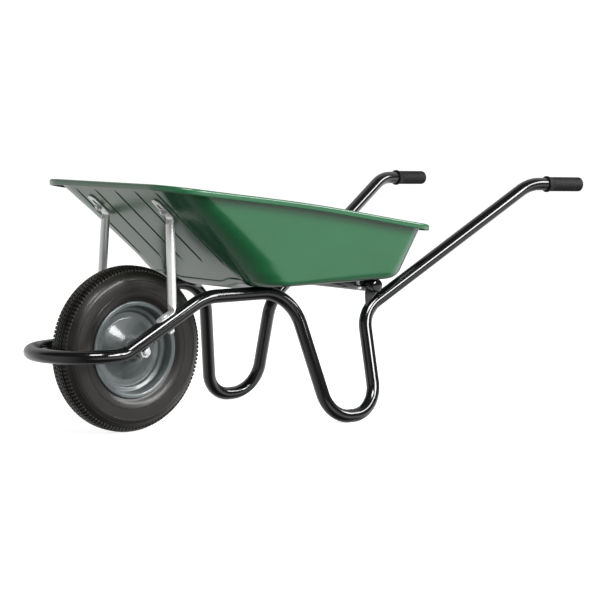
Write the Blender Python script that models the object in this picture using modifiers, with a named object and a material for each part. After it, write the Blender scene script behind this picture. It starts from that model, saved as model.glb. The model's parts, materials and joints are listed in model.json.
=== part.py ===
"""A builder's wheelbarrow: bent tube frame, pressed steel tray, two struts and a pneumatic wheel.

Metres, +Z up. The wheel is at -X and the handles at +X. The origin is on the ground under the
middle of the barrow. "left" is -Y, the left hand of the person who pushes it.
"""
import math

import bmesh
import bpy
from mathutils import Matrix, Vector

SIDES = {"left": -1, "right": 1}
GAP = 0.0003                    # clearance between pieces that touch
UP = Vector((0, 0, 1))
ACROSS = Vector((0, 1, 0))

# Wheel
WHEEL_X = -0.477
WHEEL_RADIUS = 0.195
TYRE_HALF_WIDTH = 0.0415
TYRE_WALL = 0.008
BEAD_RADIUS = 0.1035
BEAD_HALF_WIDTH = 0.0315
RIM_FLANGE_RADIUS = 0.1130
RIM_HALF_WIDTH = 0.0345
RIM_SHEET = 0.002
INNER_TUBE_WALL = 0.002
HUB_RADIUS = 0.0222
HUB_BORE = 0.0165
HUB_HALF_LENGTH = 0.050
HUB_STEPS = 16
BEARING_WIDTH = 0.012
AXLE_RADIUS = 0.008
AXLE_END = 0.084
VALVE_RADIUS = 0.004
VALVE_LENGTH = 0.030
VALVE_OFFSET = 0.017            # from the wheel's middle plane towards the right
VALVE_ANGLE = math.radians(200)

# Frame
TUBE_RADIUS = 0.016
TUBE_WALL = 0.0018
NOSE_CLEARANCE = 0.0285         # between the tyre and the loop in front of it
NOSE_RADIUS = 0.127             # of the half circle that the loop makes in plan
NOSE_STRAIGHT = 0.020           # from the half circle to the corner of the first bend
NOSE_RISE = 0.005               # of the loop above the axle
RAIL_RISE = 0.1255              # of the rails above the axle
RAIL_FRONT_X = -0.367
RAIL_FRONT_HALF_WIDTH = 0.158
RAIL_REAR_X = -0.125
RAIL_REAR_HALF_WIDTH = 0.171
RAIL_JOINT_X = -0.300           # where the nose tube meets the side tubes
FOOT_FRONT_X = -0.059
FOOT_REAR_X = 0.0875
FOOT_HALF_WIDTH = 0.240
KNEE = Vector((0.0945, 0.182, 0.258))
HANDLE_BEND = Vector((0.5655, 0.281, 0.556))
HANDLE_END = Vector((0.7308, 0.299, 0.5505))
NOSE_BEND_RADIUS = 0.065
RAIL_BEND_RADIUS = 0.115
LEG_BEND_RADIUS = 0.105
FOOT_BEND_RADIUS = 0.075
KNEE_BEND_RADIUS = 0.077
HANDLE_BEND_RADIUS = 0.100
CROSSBAR_X = 0.113
CROSSBAR_HALF_LENGTH = 0.217
GUSSET_HALF_WIDTH = 0.190       # from the middle plane to the gusset's middle
PLATE = 0.004

# Grips
GRIP_LENGTH = 0.112
GRIP_WALL = 0.0020
GRIP_COLLAR = 0.0035            # the collar stands this far out of the grip
GRIP_END = 0.004
GRIP_STEPS = 16

# Tray
SHEET = 0.001
FLOOR_FRONT_X = -0.252
FLOOR_REAR_X = 0.181
FLOOR_HALF_WIDTH = 0.245
FLOOR_CORNER = 0.065
FLOOR_ROUNDING = 0.032
RIM_FRONT_X = -0.5257
RIM_REAR_X = 0.236
RIM_HALF_WIDTH_TRAY = 0.268
RIM_FRONT_RISE = 0.2465         # of the front rim above the tray's floor
RIM_FALL = 0.155                # drop of the rim for each metre towards the handles
RIM_FRONT_CORNER = 0.075
RIM_REAR_CORNER = 0.050
LIP_WIDTH = 0.018
LIP_DEPTH = 0.009

# Struts
STRUT_RADIUS = 0.009
STRUT_TOP_X = -0.4417
STRUT_TOP_HALF_WIDTH = 0.1316
STRUT_TAB_LENGTH = 0.062
STRUT_TAB_WIDTH = 0.027
STRUT_TAB = 0.0036
STRUT_FOOT_LENGTH = 0.045
STRUT_BOLT_FROM_BEND = 0.024
SLOT_LENGTH = 0.028

# Fasteners
BOLT_RADIUS = 0.004
BOLT_HEAD_RADIUS = 0.0095
BOLT_HEAD = 0.0045
NUT_RADIUS = 0.0075
NUT_HEIGHT = 0.0065
BOLT_END = 0.003                # thread that shows past the nut
AXLE_NUT_RADIUS = 0.0135
AXLE_NUT_HEIGHT = 0.010
WASHER = 0.002
AXLE_WASHER_RADIUS = 0.0145
FRONT_BOLT_X = -0.165
TAB_DEPTH = 0.023
TAB_WIDTH = 0.026
REAR_BOLT_HALF_WIDTH = 0.175

# Axle brackets
BRACKET_INNER = 0.0610
BRACKET_FRONT = 0.036
BRACKET_REAR = 0.018
BRACKET_BELOW = 0.013

# Places that follow from the sizes above
AXLE = Vector((WHEEL_X, 0, WHEEL_RADIUS))
RAIL_Z = WHEEL_RADIUS + RAIL_RISE
FLOOR_Z = RAIL_Z + TUBE_RADIUS + GAP
NOSE_CENTRE_X = WHEEL_X - WHEEL_RADIUS - NOSE_CLEARANCE - TUBE_RADIUS + NOSE_RADIUS
FRONT_BEND = Vector((NOSE_CENTRE_X + NOSE_STRAIGHT, NOSE_RADIUS, WHEEL_RADIUS + NOSE_RISE))
RAIL_FRONT = Vector((RAIL_FRONT_X, RAIL_FRONT_HALF_WIDTH, RAIL_Z))
RAIL_REAR = Vector((RAIL_REAR_X, RAIL_REAR_HALF_WIDTH, RAIL_Z))
RAIL_JOINT = RAIL_FRONT.lerp(RAIL_REAR, (RAIL_JOINT_X - RAIL_FRONT_X) / (RAIL_REAR_X - RAIL_FRONT_X))
RISE = (RAIL_FRONT - FRONT_BEND).normalized()
SLOPE = Vector((FLOOR_FRONT_X - RIM_FRONT_X, 0, -RIM_FRONT_RISE)).normalized()
SLOPE_OUT = Vector((SLOPE.z, 0, -SLOPE.x))


def clear_scene():
    for obj in list(bpy.data.objects):
        bpy.data.objects.remove(obj, do_unlink=True)


def new_collection(name):
    collection = bpy.data.collections.new(name)
    bpy.context.scene.collection.children.link(collection)
    return collection


def new_material(name, colour, roughness, metallic):
    material = bpy.data.materials.new(name)
    material.use_nodes = True
    shader = material.node_tree.nodes["Principled BSDF"]
    shader.inputs["Base Color"].default_value = (*colour, 1)
    shader.inputs["Roughness"].default_value = roughness
    shader.inputs["Metallic"].default_value = metallic
    return material


clear_scene()
PARTS = new_collection("wheelbarrow")
CUTTERS = new_collection("cutters")
GREEN = new_material("tray_paint", (0.055, 0.20, 0.085), 0.35, 0.0)
BLACK = new_material("frame_paint", (0.012, 0.012, 0.013), 0.25, 0.0)
ZINC = new_material("zinc", (0.72, 0.73, 0.75), 0.30, 1.0)
GREY = new_material("rim_paint", (0.10, 0.11, 0.12), 0.35, 0.0)
RUBBER = new_material("tyre_rubber", (0.018, 0.017, 0.016), 0.60, 0.0)
GRIP = new_material("grip_rubber", (0.045, 0.045, 0.048), 0.70, 0.0)
STEEL = new_material("bearing_steel", (0.45, 0.45, 0.46), 0.35, 1.0)


def add_object(name, mesh, material, parent=None):
    """Put a mesh in the parts collection under its own name."""
    obj = bpy.data.objects.new(name, mesh)
    PARTS.objects.link(obj)
    if not mesh.materials:
        mesh.materials.append(material)
    obj.parent = parent
    return obj


def cutter(obj):
    """Turn an object into a hidden cutter."""
    for collection in list(obj.users_collection):
        collection.objects.unlink(obj)
    CUTTERS.objects.link(obj)
    obj.hide_render = True
    obj.display_type = "WIRE"
    return obj


def boolean(obj, tool, operation="DIFFERENCE"):
    modifier = obj.modifiers.new(tool.name, "BOOLEAN")
    modifier.operation = operation
    modifier.solver = "EXACT"
    modifier.object = tool


def evaluated_mesh(obj):
    """The mesh of an object with its modifiers, with loose caps welded."""
    bpy.context.view_layer.update()
    depsgraph = bpy.context.evaluated_depsgraph_get()
    mesh = bpy.data.meshes.new_from_object(obj.evaluated_get(depsgraph))
    shape = bmesh.new()
    shape.from_mesh(mesh)
    bmesh.ops.remove_doubles(shape, verts=shape.verts, dist=0.00001)
    shape.to_mesh(mesh)
    shape.free()
    return mesh


def bake(obj):
    """Replace an object by a plain mesh object of the same name, place and look."""
    mesh = evaluated_mesh(obj)
    name, place, collection = obj.name, obj.matrix_world.copy(), obj.users_collection[0]
    bpy.data.objects.remove(obj, do_unlink=True)
    baked = bpy.data.objects.new(name, mesh)
    baked.matrix_world = place
    collection.objects.link(baked)
    return baked


def turn_to(direction, turn=0.0):
    """Rotation that takes +Z to a direction, after a turn about +Z."""
    return direction.to_track_quat("Z", "Y").to_matrix().to_4x4() @ Matrix.Rotation(turn, 4, "Z")


def mirrored(point, side):
    return Vector((point.x, point.y * side, point.z))


def fillet(points, radii, steps):
    """Round the inner corners of a path with arcs of the given radii."""
    path = [points[0]]
    for before, corner, after, radius in zip(points, points[1:], points[2:], radii):
        back = (before - corner).normalized()
        ahead = (after - corner).normalized()
        half = back.angle(ahead) / 2
        middle = corner + (back + ahead).normalized() * (radius / math.sin(half))
        first = corner + back * (radius / math.tan(half)) - middle
        last = corner + ahead * (radius / math.tan(half)) - middle
        sweep = math.pi - 2 * half
        for i in range(steps + 1):
            t = i / steps
            arm = first * math.sin((1 - t) * sweep) + last * math.sin(t * sweep)
            path.append(middle + arm / math.sin(sweep))
    path.append(points[-1])
    return path


def tube_curve(name, path, radius, caps, material=None):
    """A bevelled curve along a path."""
    curve = bpy.data.curves.new(name, "CURVE")
    curve.dimensions = "3D"
    curve.bevel_depth = radius
    curve.bevel_resolution = 3
    curve.use_fill_caps = caps
    spline = curve.splines.new("POLY")
    spline.points.add(len(path) - 1)
    for spline_point, point in zip(spline.points, path):
        spline_point.co = (*point, 1)
    if material:
        curve.materials.append(material)
    obj = bpy.data.objects.new(name, curve)
    PARTS.objects.link(obj)
    return obj


def hollow_tube(name, path):
    """A painted frame tube with open ends."""
    obj = bake(tube_curve(name, path, TUBE_RADIUS, False, BLACK))
    wall = obj.modifiers.new("wall", "SOLIDIFY")
    wall.thickness = TUBE_WALL
    wall.offset = -1
    return obj


def clockwise(loop):
    area = sum(a[0] * b[1] - b[0] * a[1] for a, b in zip(loop, loop[1:] + loop[:1]))
    return loop if area < 0 else loop[::-1]


def turned(name, profile, material, steps, closed=True):
    """A turned shape about local Z. The profile lists (radius, height) points."""
    loop = clockwise(profile)
    if not closed and loop[0][0] > 0:
        start = next(i for i, point in enumerate(loop) if point[0] == 0 and loop[i - 1][0] == 0)
        loop = loop[start:] + loop[:start]
    mesh = bpy.data.meshes.new(name)
    edges = [(i, i + 1) for i in range(len(loop) - 1)]
    if closed:
        edges.append((len(loop) - 1, 0))
    mesh.from_pydata([(radius, 0, height) for radius, height in loop], edges, [])
    obj = add_object(name, mesh, material)
    screw = obj.modifiers.new("turn", "SCREW")
    screw.steps = steps
    screw.render_steps = steps
    screw.use_merge_vertices = True
    screw.merge_threshold = 0.00001
    screw.use_smooth_shade = True
    return obj


def ring(name, outer, inner, low, high, material, steps=12):
    return turned(name, [(outer, high), (outer, low), (inner, low), (inner, high)], material, steps)


def rod(name, radius, low, high, material, steps=12):
    profile = [(0, high), (radius, high), (radius, low), (0, low)]
    return turned(name, profile, material, steps, closed=False)


def place(obj, origin, direction, turn=0.0):
    obj.matrix_world = Matrix.Translation(origin) @ turn_to(direction, turn)
    return obj


def plate(name, outline, thickness, origin, right, up, material):
    """A flat plate: an outline in (right, up) coordinates, centred on its own plane."""
    curve = bpy.data.curves.new(name, "CURVE")
    curve.dimensions = "2D"
    curve.fill_mode = "BOTH"
    curve.extrude = thickness / 2
    spline = curve.splines.new("POLY")
    spline.points.add(len(outline) - 1)
    for spline_point, (across, along) in zip(spline.points, outline):
        spline_point.co = (across, along, 0, 1)
    spline.use_cyclic_u = True
    curve.materials.append(material)
    obj = bpy.data.objects.new(name, curve)
    PARTS.objects.link(obj)
    normal = right.cross(up)
    obj.matrix_world = Matrix.Translation(origin) @ Matrix((right, up, normal)).transposed().to_4x4()
    return bake(obj)


def rectangle(low_across, high_across, low_along, high_along):
    return [(low_across, low_along), (high_across, low_along),
            (high_across, high_along), (low_across, high_along)]


def arc_points(centre, radius, start, end, steps):
    """Points on an arc, with angles in degrees."""
    angles = [math.radians(start + (end - start) * i / steps) for i in range(steps + 1)]
    return [(centre[0] + radius * math.cos(a), centre[1] + radius * math.sin(a)) for a in angles]


def drill(obj, origin, direction, radius, depth):
    """Cut a round hole that reaches the given depth to both sides of a point."""
    tool = cutter(rod("drill_" + obj.name, radius, -depth, depth, ZINC, 12))
    place(tool, origin, direction)
    boolean(obj, tool)


def hexagon_nut(name, radius, height, bore):
    """A nut about local Z that stands on its origin."""
    mesh = bpy.data.meshes.new(name)
    shape = bmesh.new()
    corner = radius / math.cos(math.pi / 6)
    bmesh.ops.create_cone(shape, cap_ends=True, segments=6, radius1=corner, radius2=corner,
                          depth=height, matrix=Matrix.Translation((0, 0, height / 2)))
    shape.to_mesh(mesh)
    shape.free()
    nut = add_object(name, mesh, ZINC)
    drill(nut, Vector((0, 0, 0)), UP, bore, height * 2)
    return bake(nut)


def bolt(name, length):
    """A domed bolt about local Z: its head stands on the origin and its shank runs down."""
    dome = [(BOLT_HEAD_RADIUS * math.cos(a), BOLT_HEAD * math.sin(a))
            for a in (math.radians(30 * i) for i in range(3))]
    profile = [(0, BOLT_HEAD)] + dome[::-1] + [(BOLT_RADIUS, 0), (BOLT_RADIUS, -length), (0, -length)]
    return turned(name, profile, ZINC, 8, closed=False)


def bolt_and_nut(name, head_seat, direction, grip_length):
    """A bolt whose head sits at a point and whose nut closes the grip on the far side."""
    place(bolt(name + "_bolt", grip_length + 2 * GAP + NUT_HEIGHT + BOLT_END),
          head_seat - direction * GAP, -direction)
    nut = hexagon_nut(name + "_nut", NUT_RADIUS, NUT_HEIGHT, BOLT_RADIUS + GAP)
    place(nut, head_seat + direction * (grip_length + GAP), direction)


# ---------------------------------------------------------------- frame

def nose_path():
    """Round the wheel from the left rail joint to the right one."""
    front = [mirrored(FRONT_BEND, -1), mirrored(RAIL_FRONT, -1), mirrored(RAIL_JOINT, -1)][::-1]
    height = FRONT_BEND.z
    steps = 10
    start = Vector((NOSE_CENTRE_X, -NOSE_RADIUS, height))
    left = fillet(front + [start], [RAIL_BEND_RADIUS, NOSE_BEND_RADIUS], 3)
    loop = []
    for i in range(1, steps):
        angle = -math.pi / 2 - math.pi * i / steps
        loop.append(Vector((NOSE_CENTRE_X + NOSE_RADIUS * math.cos(angle),
                            NOSE_RADIUS * math.sin(angle), height)))
    right = [mirrored(point, -1) for point in reversed(left)]
    return left + loop + right


def side_path(side):
    """From the rail joint, down and up the leg and along the handle."""
    joint = RAIL_JOINT + (RAIL_REAR - RAIL_JOINT).normalized() * GAP
    foot_front = Vector((FOOT_FRONT_X, FOOT_HALF_WIDTH, TUBE_RADIUS))
    foot_rear = Vector((FOOT_REAR_X, FOOT_HALF_WIDTH, TUBE_RADIUS))
    end = HANDLE_END - (HANDLE_END - HANDLE_BEND).normalized() * (GRIP_END + GAP)
    corners = [joint, RAIL_REAR, foot_front, foot_rear, KNEE, HANDLE_BEND, end]
    radii = [LEG_BEND_RADIUS, FOOT_BEND_RADIUS, FOOT_BEND_RADIUS, KNEE_BEND_RADIUS,
             HANDLE_BEND_RADIUS]
    return fillet([mirrored(corner, side) for corner in corners], radii, 5)


def make_frame():
    tubes = {"nose": hollow_tube("nose_tube", nose_path())}
    for name, side in SIDES.items():
        tubes[name] = hollow_tube("side_tube_" + name, side_path(side))
    return tubes


def make_crossbar():
    """The rear cross tube, its two bolt ears and the gussets that stand on the knees."""
    ends = [Vector((CROSSBAR_X, side * CROSSBAR_HALF_LENGTH, RAIL_Z)) for side in (-1, 1)]
    hollow_tube("rear_crossbar", ends)
    for name, side in SIDES.items():
        ear_x = CROSSBAR_X - TUBE_RADIUS - GAP
        ear = plate("rear_ear_" + name, rectangle(-TAB_DEPTH, 0, -TAB_WIDTH / 2, TAB_WIDTH / 2),
                    PLATE, Vector((ear_x, side * REAR_BOLT_HALF_WIDTH, RAIL_Z)),
                    Vector((1, 0, 0)), ACROSS, BLACK)
        drill(ear, Vector((rear_bolt_x(), side * REAR_BOLT_HALF_WIDTH, RAIL_Z)), UP,
              BOLT_RADIUS + GAP, 0.01)
        make_gusset(name, side, ends)


def rear_bolt_x():
    return CROSSBAR_X - TUBE_RADIUS - GAP - TAB_DEPTH / 2


def make_gusset(name, side, crossbar_ends):
    """A plate from the crossbar down to the knee, cut to the shape of both tubes."""
    low = KNEE.z - TUBE_RADIUS - RAIL_Z
    outline = [(-0.017, -0.004), (-0.017, low / 2), (-0.012, low), (0.030, low * 0.55),
               (0.016, -0.004)]
    obj = plate("gusset_" + name, outline, PLATE,
                Vector((CROSSBAR_X, side * GUSSET_HALF_WIDTH, RAIL_Z)), Vector((1, 0, 0)), UP, BLACK)
    fat = TUBE_RADIUS + GAP
    for label, path in (("bar", crossbar_ends), ("knee", side_path(side))):
        tool = bake(tube_curve("around_%s_%s" % (label, name), path, fat, True))
        boolean(obj, cutter(tool))


def make_axle_brackets():
    """Plates welded under the rising tubes, folded down to hold the axle."""
    along = Vector((RISE.x, 0, RISE.z)).normalized()
    above = Vector((-along.z, 0, along.x))
    start = Vector((FRONT_BEND.x, 0, FRONT_BEND.z))
    tube_height = (start - AXLE).dot(above)
    top = tube_height - TUBE_RADIUS - GAP
    reach = (AXLE - start).dot(along) * RISE.y / math.hypot(RISE.x, RISE.z) + FRONT_BEND.y
    for name, side in SIDES.items():
        middle = side * (BRACKET_INNER + PLATE / 2)
        outline = [(-BRACKET_FRONT, top), (-BRACKET_FRONT, 0.002)]
        outline += arc_points((0, 0), BRACKET_BELOW, 230, 345, 6)
        outline += [(BRACKET_REAR, 0.004), (BRACKET_REAR, top)]
        tab = plate("axle_bracket_" + name, outline, PLATE, AXLE + ACROSS * middle,
                    along, above, BLACK)
        width = reach - BRACKET_INNER
        shelf = plate("bracket_shelf_" + name,
                      rectangle(-BRACKET_FRONT, BRACKET_REAR, -width / 2, width / 2), PLATE,
                      AXLE + ACROSS * side * (BRACKET_INNER + width / 2) + above * (top - PLATE / 2),
                      along, -ACROSS, BLACK)
        boolean(tab, cutter(shelf), "UNION")
        drill(tab, AXLE + ACROSS * middle, ACROSS, AXLE_RADIUS + GAP, 0.01)


# ---------------------------------------------------------------- tray

def rounded_outline(front, rear, half_width, front_radius, rear_radius, steps):
    """A round-cornered rectangle in plan, anticlockwise from the right rear corner."""
    corners = ((rear, half_width, rear_radius, 0), (front, half_width, front_radius, 90),
               (front, -half_width, front_radius, 180), (rear, -half_width, rear_radius, 270))
    outline = []
    for x, y, radius, start in corners:
        centre = (x - math.copysign(radius, x - (front + rear) / 2), y - math.copysign(radius, y))
        outline += arc_points(centre, radius, start, start + 90, steps)
    return outline


def rim_z(x):
    return FLOOR_Z + RIM_FRONT_RISE - RIM_FALL * (x - RIM_FRONT_X)


def rim_ring(grow, drop, steps):
    """The tray's edge, moved outwards in plan and down."""
    outline = rounded_outline(RIM_FRONT_X - grow, RIM_REAR_X + grow, RIM_HALF_WIDTH_TRAY + grow,
                              RIM_FRONT_CORNER + grow, RIM_REAR_CORNER + grow, steps)
    return [Vector((x, y, rim_z(x) - drop)) for x, y in outline]


def tray_rings(steps):
    """Rings of points from the floor to the turned-down lip."""
    floor = [Vector((x, y, FLOOR_Z)) for x, y in rounded_outline(
        FLOOR_FRONT_X, FLOOR_REAR_X, FLOOR_HALF_WIDTH, FLOOR_CORNER, FLOOR_CORNER, steps)]
    inset = [Vector((x, y, FLOOR_Z)) for x, y in rounded_outline(
        FLOOR_FRONT_X + FLOOR_ROUNDING, FLOOR_REAR_X - FLOOR_ROUNDING,
        FLOOR_HALF_WIDTH - FLOOR_ROUNDING, FLOOR_CORNER - FLOOR_ROUNDING,
        FLOOR_CORNER - FLOOR_ROUNDING, steps)]
    edge = rim_ring(0, 0, steps)
    wall = [low + (high - low).normalized() * FLOOR_ROUNDING for low, high in zip(floor, edge)]
    rings = []
    for t in (0, 0.25, 0.5, 0.75, 1):
        rings.append([a * (1 - t) ** 2 + b * 2 * t * (1 - t) + c * t ** 2
                      for a, b, c in zip(inset, floor, wall)])
    rings += [edge, rim_ring(LIP_WIDTH - 0.002, 0, steps), rim_ring(LIP_WIDTH, 0.002, steps),
              rim_ring(LIP_WIDTH, LIP_DEPTH, steps)]
    return rings


def make_tray():
    rings = tray_rings(5)
    count = len(rings[0])
    vertices = [point for points in rings for point in points]
    faces = [list(range(count))[::-1]]
    for level in range(len(rings) - 1):
        for i in range(count):
            j = (i + 1) % count
            low, high = level * count, (level + 1) * count
            faces.append([low + i, low + j, high + j, high + i])
    mesh = bpy.data.meshes.new("tray")
    mesh.from_pydata(vertices, [], faces)
    tray = add_object("tray", mesh, GREEN)
    wall = tray.modifiers.new("sheet", "SOLIDIFY")
    wall.thickness = SHEET
    wall.offset = -1
    wall.use_even_offset = True
    for side in SIDES.values():
        drill(tray, front_bolt_point(side), UP, BOLT_RADIUS + GAP, 0.01)
        drill(tray, rear_bolt_point(side), UP, BOLT_RADIUS + GAP, 0.01)
        drill(tray, strut_bolt_point(side), SLOPE_OUT, BOLT_RADIUS + GAP, 0.01)
    return tray


def rail_half_width(x):
    """Half the distance between the rails' middles at a place along them."""
    part = (x - RAIL_FRONT_X) / (RAIL_REAR_X - RAIL_FRONT_X)
    return RAIL_FRONT_HALF_WIDTH + (RAIL_REAR_HALF_WIDTH - RAIL_FRONT_HALF_WIDTH) * part


def front_bolt_point(side):
    inner = rail_half_width(FRONT_BOLT_X - TAB_WIDTH / 2) - TUBE_RADIUS - GAP
    return Vector((FRONT_BOLT_X, side * (inner - TAB_DEPTH / 2), FLOOR_Z))


def rear_bolt_point(side):
    return Vector((rear_bolt_x(), side * REAR_BOLT_HALF_WIDTH, FLOOR_Z))


def make_front_tabs():
    """Small plates on the inner side of the rails that the tray is bolted to."""
    for name, side in SIDES.items():
        bolt_place = front_bolt_point(side)
        tab = plate("front_tab_" + name,
                    rectangle(-TAB_WIDTH / 2, TAB_WIDTH / 2, -TAB_DEPTH / 2, TAB_DEPTH / 2),
                    PLATE, Vector((bolt_place.x, bolt_place.y, RAIL_Z)),
                    Vector((1, 0, 0)), ACROSS, BLACK)
        drill(tab, Vector((bolt_place.x, bolt_place.y, RAIL_Z)), UP, BOLT_RADIUS + GAP, 0.01)


def make_tray_bolts():
    depth = FLOOR_Z + SHEET - (RAIL_Z - PLATE / 2)
    for name, side in SIDES.items():
        lift = UP * SHEET
        bolt_and_nut("front_tray_" + name, front_bolt_point(side) + lift, -UP, depth)
        bolt_and_nut("rear_tray_" + name, rear_bolt_point(side) + lift, -UP, depth)


# ---------------------------------------------------------------- struts

def slope_point(x, side, half_width):
    """A point on the outer face of the tray's front slope."""
    z = FLOOR_Z + (FLOOR_FRONT_X - x) * RIM_FRONT_RISE / (FLOOR_FRONT_X - RIM_FRONT_X)
    return Vector((x, side * half_width, z))


def strut_bend_point(side):
    return slope_point(STRUT_TOP_X, side, STRUT_TOP_HALF_WIDTH)


def strut_bolt_point(side):
    return strut_bend_point(side) - SLOPE * STRUT_BOLT_FROM_BEND


def strut_foot_points(side):
    """Where the strut bends onto the rising tube, and the point on the tube under its bolt."""
    above = Vector((-RISE.z, 0, RISE.x)).normalized()
    part = (STRUT_TOP_X - FRONT_BEND.x) / (RAIL_FRONT.x - FRONT_BEND.x)
    on_tube = mirrored(FRONT_BEND.lerp(RAIL_FRONT, part), side)
    along = mirrored(RISE, side)
    return on_tube, on_tube - along * STRUT_BOLT_FROM_BEND, along, above


def section(centre, wide, thick, half_width, half_thickness, count=12):
    """A flattened round section: a superellipse in the plane of two directions."""
    points = []
    power = 0.5 if half_width > half_thickness * 1.5 else 1.0
    for i in range(count):
        angle = 2 * math.pi * i / count
        across = math.copysign(abs(math.cos(angle)) ** power, math.cos(angle)) * half_width
        through = math.copysign(abs(math.sin(angle)) ** power, math.sin(angle)) * half_thickness
        points.append(centre + wide * across + thick * through)
    return points


def loft(name, sections, material):
    """A closed solid through sections that have the same number of points."""
    count = len(sections[0])
    vertices = [point for points in sections for point in points]
    faces = [list(range(count))[::-1]]
    faces.append([(len(sections) - 1) * count + i for i in range(count)])
    for level in range(len(sections) - 1):
        for i in range(count):
            j = (i + 1) % count
            low, high = level * count, (level + 1) * count
            faces.append([low + i, low + j, high + j, high + i])
    mesh = bpy.data.meshes.new(name)
    mesh.from_pydata(vertices, [], faces)
    shape = bmesh.new()
    shape.from_mesh(mesh)
    bmesh.ops.recalc_face_normals(shape, faces=shape.faces)
    shape.to_mesh(mesh)
    shape.free()
    return add_object(name, mesh, material)


def make_struts(tubes):
    """Round tubes with flattened ends: one on the tray's slope, one on the rising frame tube."""
    half_tab = STRUT_TAB / 2
    for name, side in SIDES.items():
        on_tube, bolt_on_tube, along, above = strut_foot_points(side)
        bend_top = strut_bend_point(side) + SLOPE_OUT * (half_tab + GAP)
        bend_low = on_tube + above * (TUBE_RADIUS + GAP + half_tab)
        rise = (bend_top - bend_low).normalized()
        back = rise.cross(ACROSS).normalized() * -1
        wide = STRUT_TAB_WIDTH / 2
        lean = (back - above).normalized()
        foot_end = bend_low - along * STRUT_FOOT_LENGTH
        parts = [section(foot_end, ACROSS, -above, wide * 0.8, half_tab),
                 section(foot_end + along * 0.004, ACROSS, -above, wide, half_tab),
                 section(bend_low - along * 0.006, ACROSS, -above, wide, half_tab),
                 section(bend_low + rise * 0.005 + along * 0.001, ACROSS, lean, wide * 0.9, 0.0030),
                 section(bend_low + rise * 0.026, ACROSS, back, STRUT_RADIUS, STRUT_RADIUS),
                 section(bend_top - rise * 0.026, ACROSS, back, STRUT_RADIUS, STRUT_RADIUS)]
        lean = (back - SLOPE_OUT * 0.9).normalized()
        parts += [section(bend_top - rise * 0.007 + SLOPE_OUT * 0.002, ACROSS, lean, wide * 0.9, 0.0035),
                  section(bend_top - SLOPE * 0.008, ACROSS, -SLOPE_OUT, wide, half_tab),
                  section(bend_top - SLOPE * (STRUT_TAB_LENGTH - 0.006), ACROSS, -SLOPE_OUT, wide,
                          half_tab),
                  section(bend_top - SLOPE * STRUT_TAB_LENGTH, ACROSS, -SLOPE_OUT, wide * 0.6,
                          half_tab)]
        strut = loft("strut_" + name, parts, ZINC)
        slot_radius = BOLT_RADIUS + GAP
        outline = arc_points((0, 0), slot_radius, 180, 360, 6)
        outline += arc_points((0, SLOT_LENGTH - 2 * slot_radius), slot_radius, 0, 180, 6)
        tool = plate("slot_" + name, outline, 0.02, strut_bolt_point(side), ACROSS, -SLOPE, ZINC)
        boolean(strut, cutter(tool))
        drill(strut, bolt_on_tube, above, BOLT_RADIUS + GAP, 0.03)
        drill(tubes["nose"], bolt_on_tube, above, BOLT_RADIUS + GAP, 0.03)
        head = strut_bolt_point(side) - SLOPE_OUT * SHEET
        bolt_and_nut("strut_top_" + name, head, SLOPE_OUT, SHEET + GAP + STRUT_TAB)
        foot_head = bolt_on_tube + above * (TUBE_RADIUS + GAP + STRUT_TAB)
        bolt_and_nut("strut_foot_" + name, foot_head, -above, 2 * TUBE_RADIUS + GAP + STRUT_TAB)


# ---------------------------------------------------------------- grips

def make_grips():
    for name, side in SIDES.items():
        end = mirrored(HANDLE_END, side)
        direction = (end - mirrored(HANDLE_BEND, side)).normalized()
        bore = (TUBE_RADIUS + GAP) / math.cos(math.pi / GRIP_STEPS)
        outer = bore + GRIP_WALL
        collar = outer + GRIP_COLLAR
        profile = [(0, 0), (outer - 0.003, 0), (outer, -0.003), (outer, -GRIP_LENGTH + 0.006),
                   (collar, -GRIP_LENGTH + 0.005), (collar, -GRIP_LENGTH), (bore, -GRIP_LENGTH),
                   (bore, -GRIP_END), (0, -GRIP_END)]
        place(turned("grip_" + name, profile, GRIP, GRIP_STEPS, closed=False), end, direction)


# ---------------------------------------------------------------- wheel

def sheet_loop(line, thickness):
    """The closed outline of a bent sheet whose middle follows a line of (radius, height) points."""
    sides = ([], [])
    for i, point in enumerate(line):
        before = Vector(line[max(i - 1, 0)])
        after = Vector(line[min(i + 1, len(line) - 1)])
        along = (after - before).normalized()
        for sign, points in zip((1, -1), sides):
            points.append((point[0] - along.y * sign * thickness / 2,
                           point[1] + along.x * sign * thickness / 2))
    return sides[0] + sides[1][::-1]


def rim_line():
    """Middle of one rim half, from the flange to the hub collar, as (radius, height)."""
    seat = BEAD_RADIUS - RIM_SHEET / 2 - GAP
    return [(RIM_FLANGE_RADIUS, RIM_HALF_WIDTH), (seat, RIM_HALF_WIDTH - 0.0010),
            (seat - 0.001, 0.0100), (0.0900, 0.0075),
            (0.0870, 0.0014), (0.0720, 0.0014), (0.0560, 0.0130), (0.0350, 0.0270),
            (HUB_RADIUS + GAP + RIM_SHEET, 0.0300), (HUB_RADIUS + GAP + RIM_SHEET / 2, 0.0340)]


def make_rims(spin):
    for name, side in SIDES.items():
        rim = turned("rim_" + name, sheet_loop(rim_line(), RIM_SHEET), GREY, 32)
        rim.parent = spin
        if side < 0:
            rim.rotation_euler = (math.pi, 0, 0)
    return bpy.data.objects["rim_right"]


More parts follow.
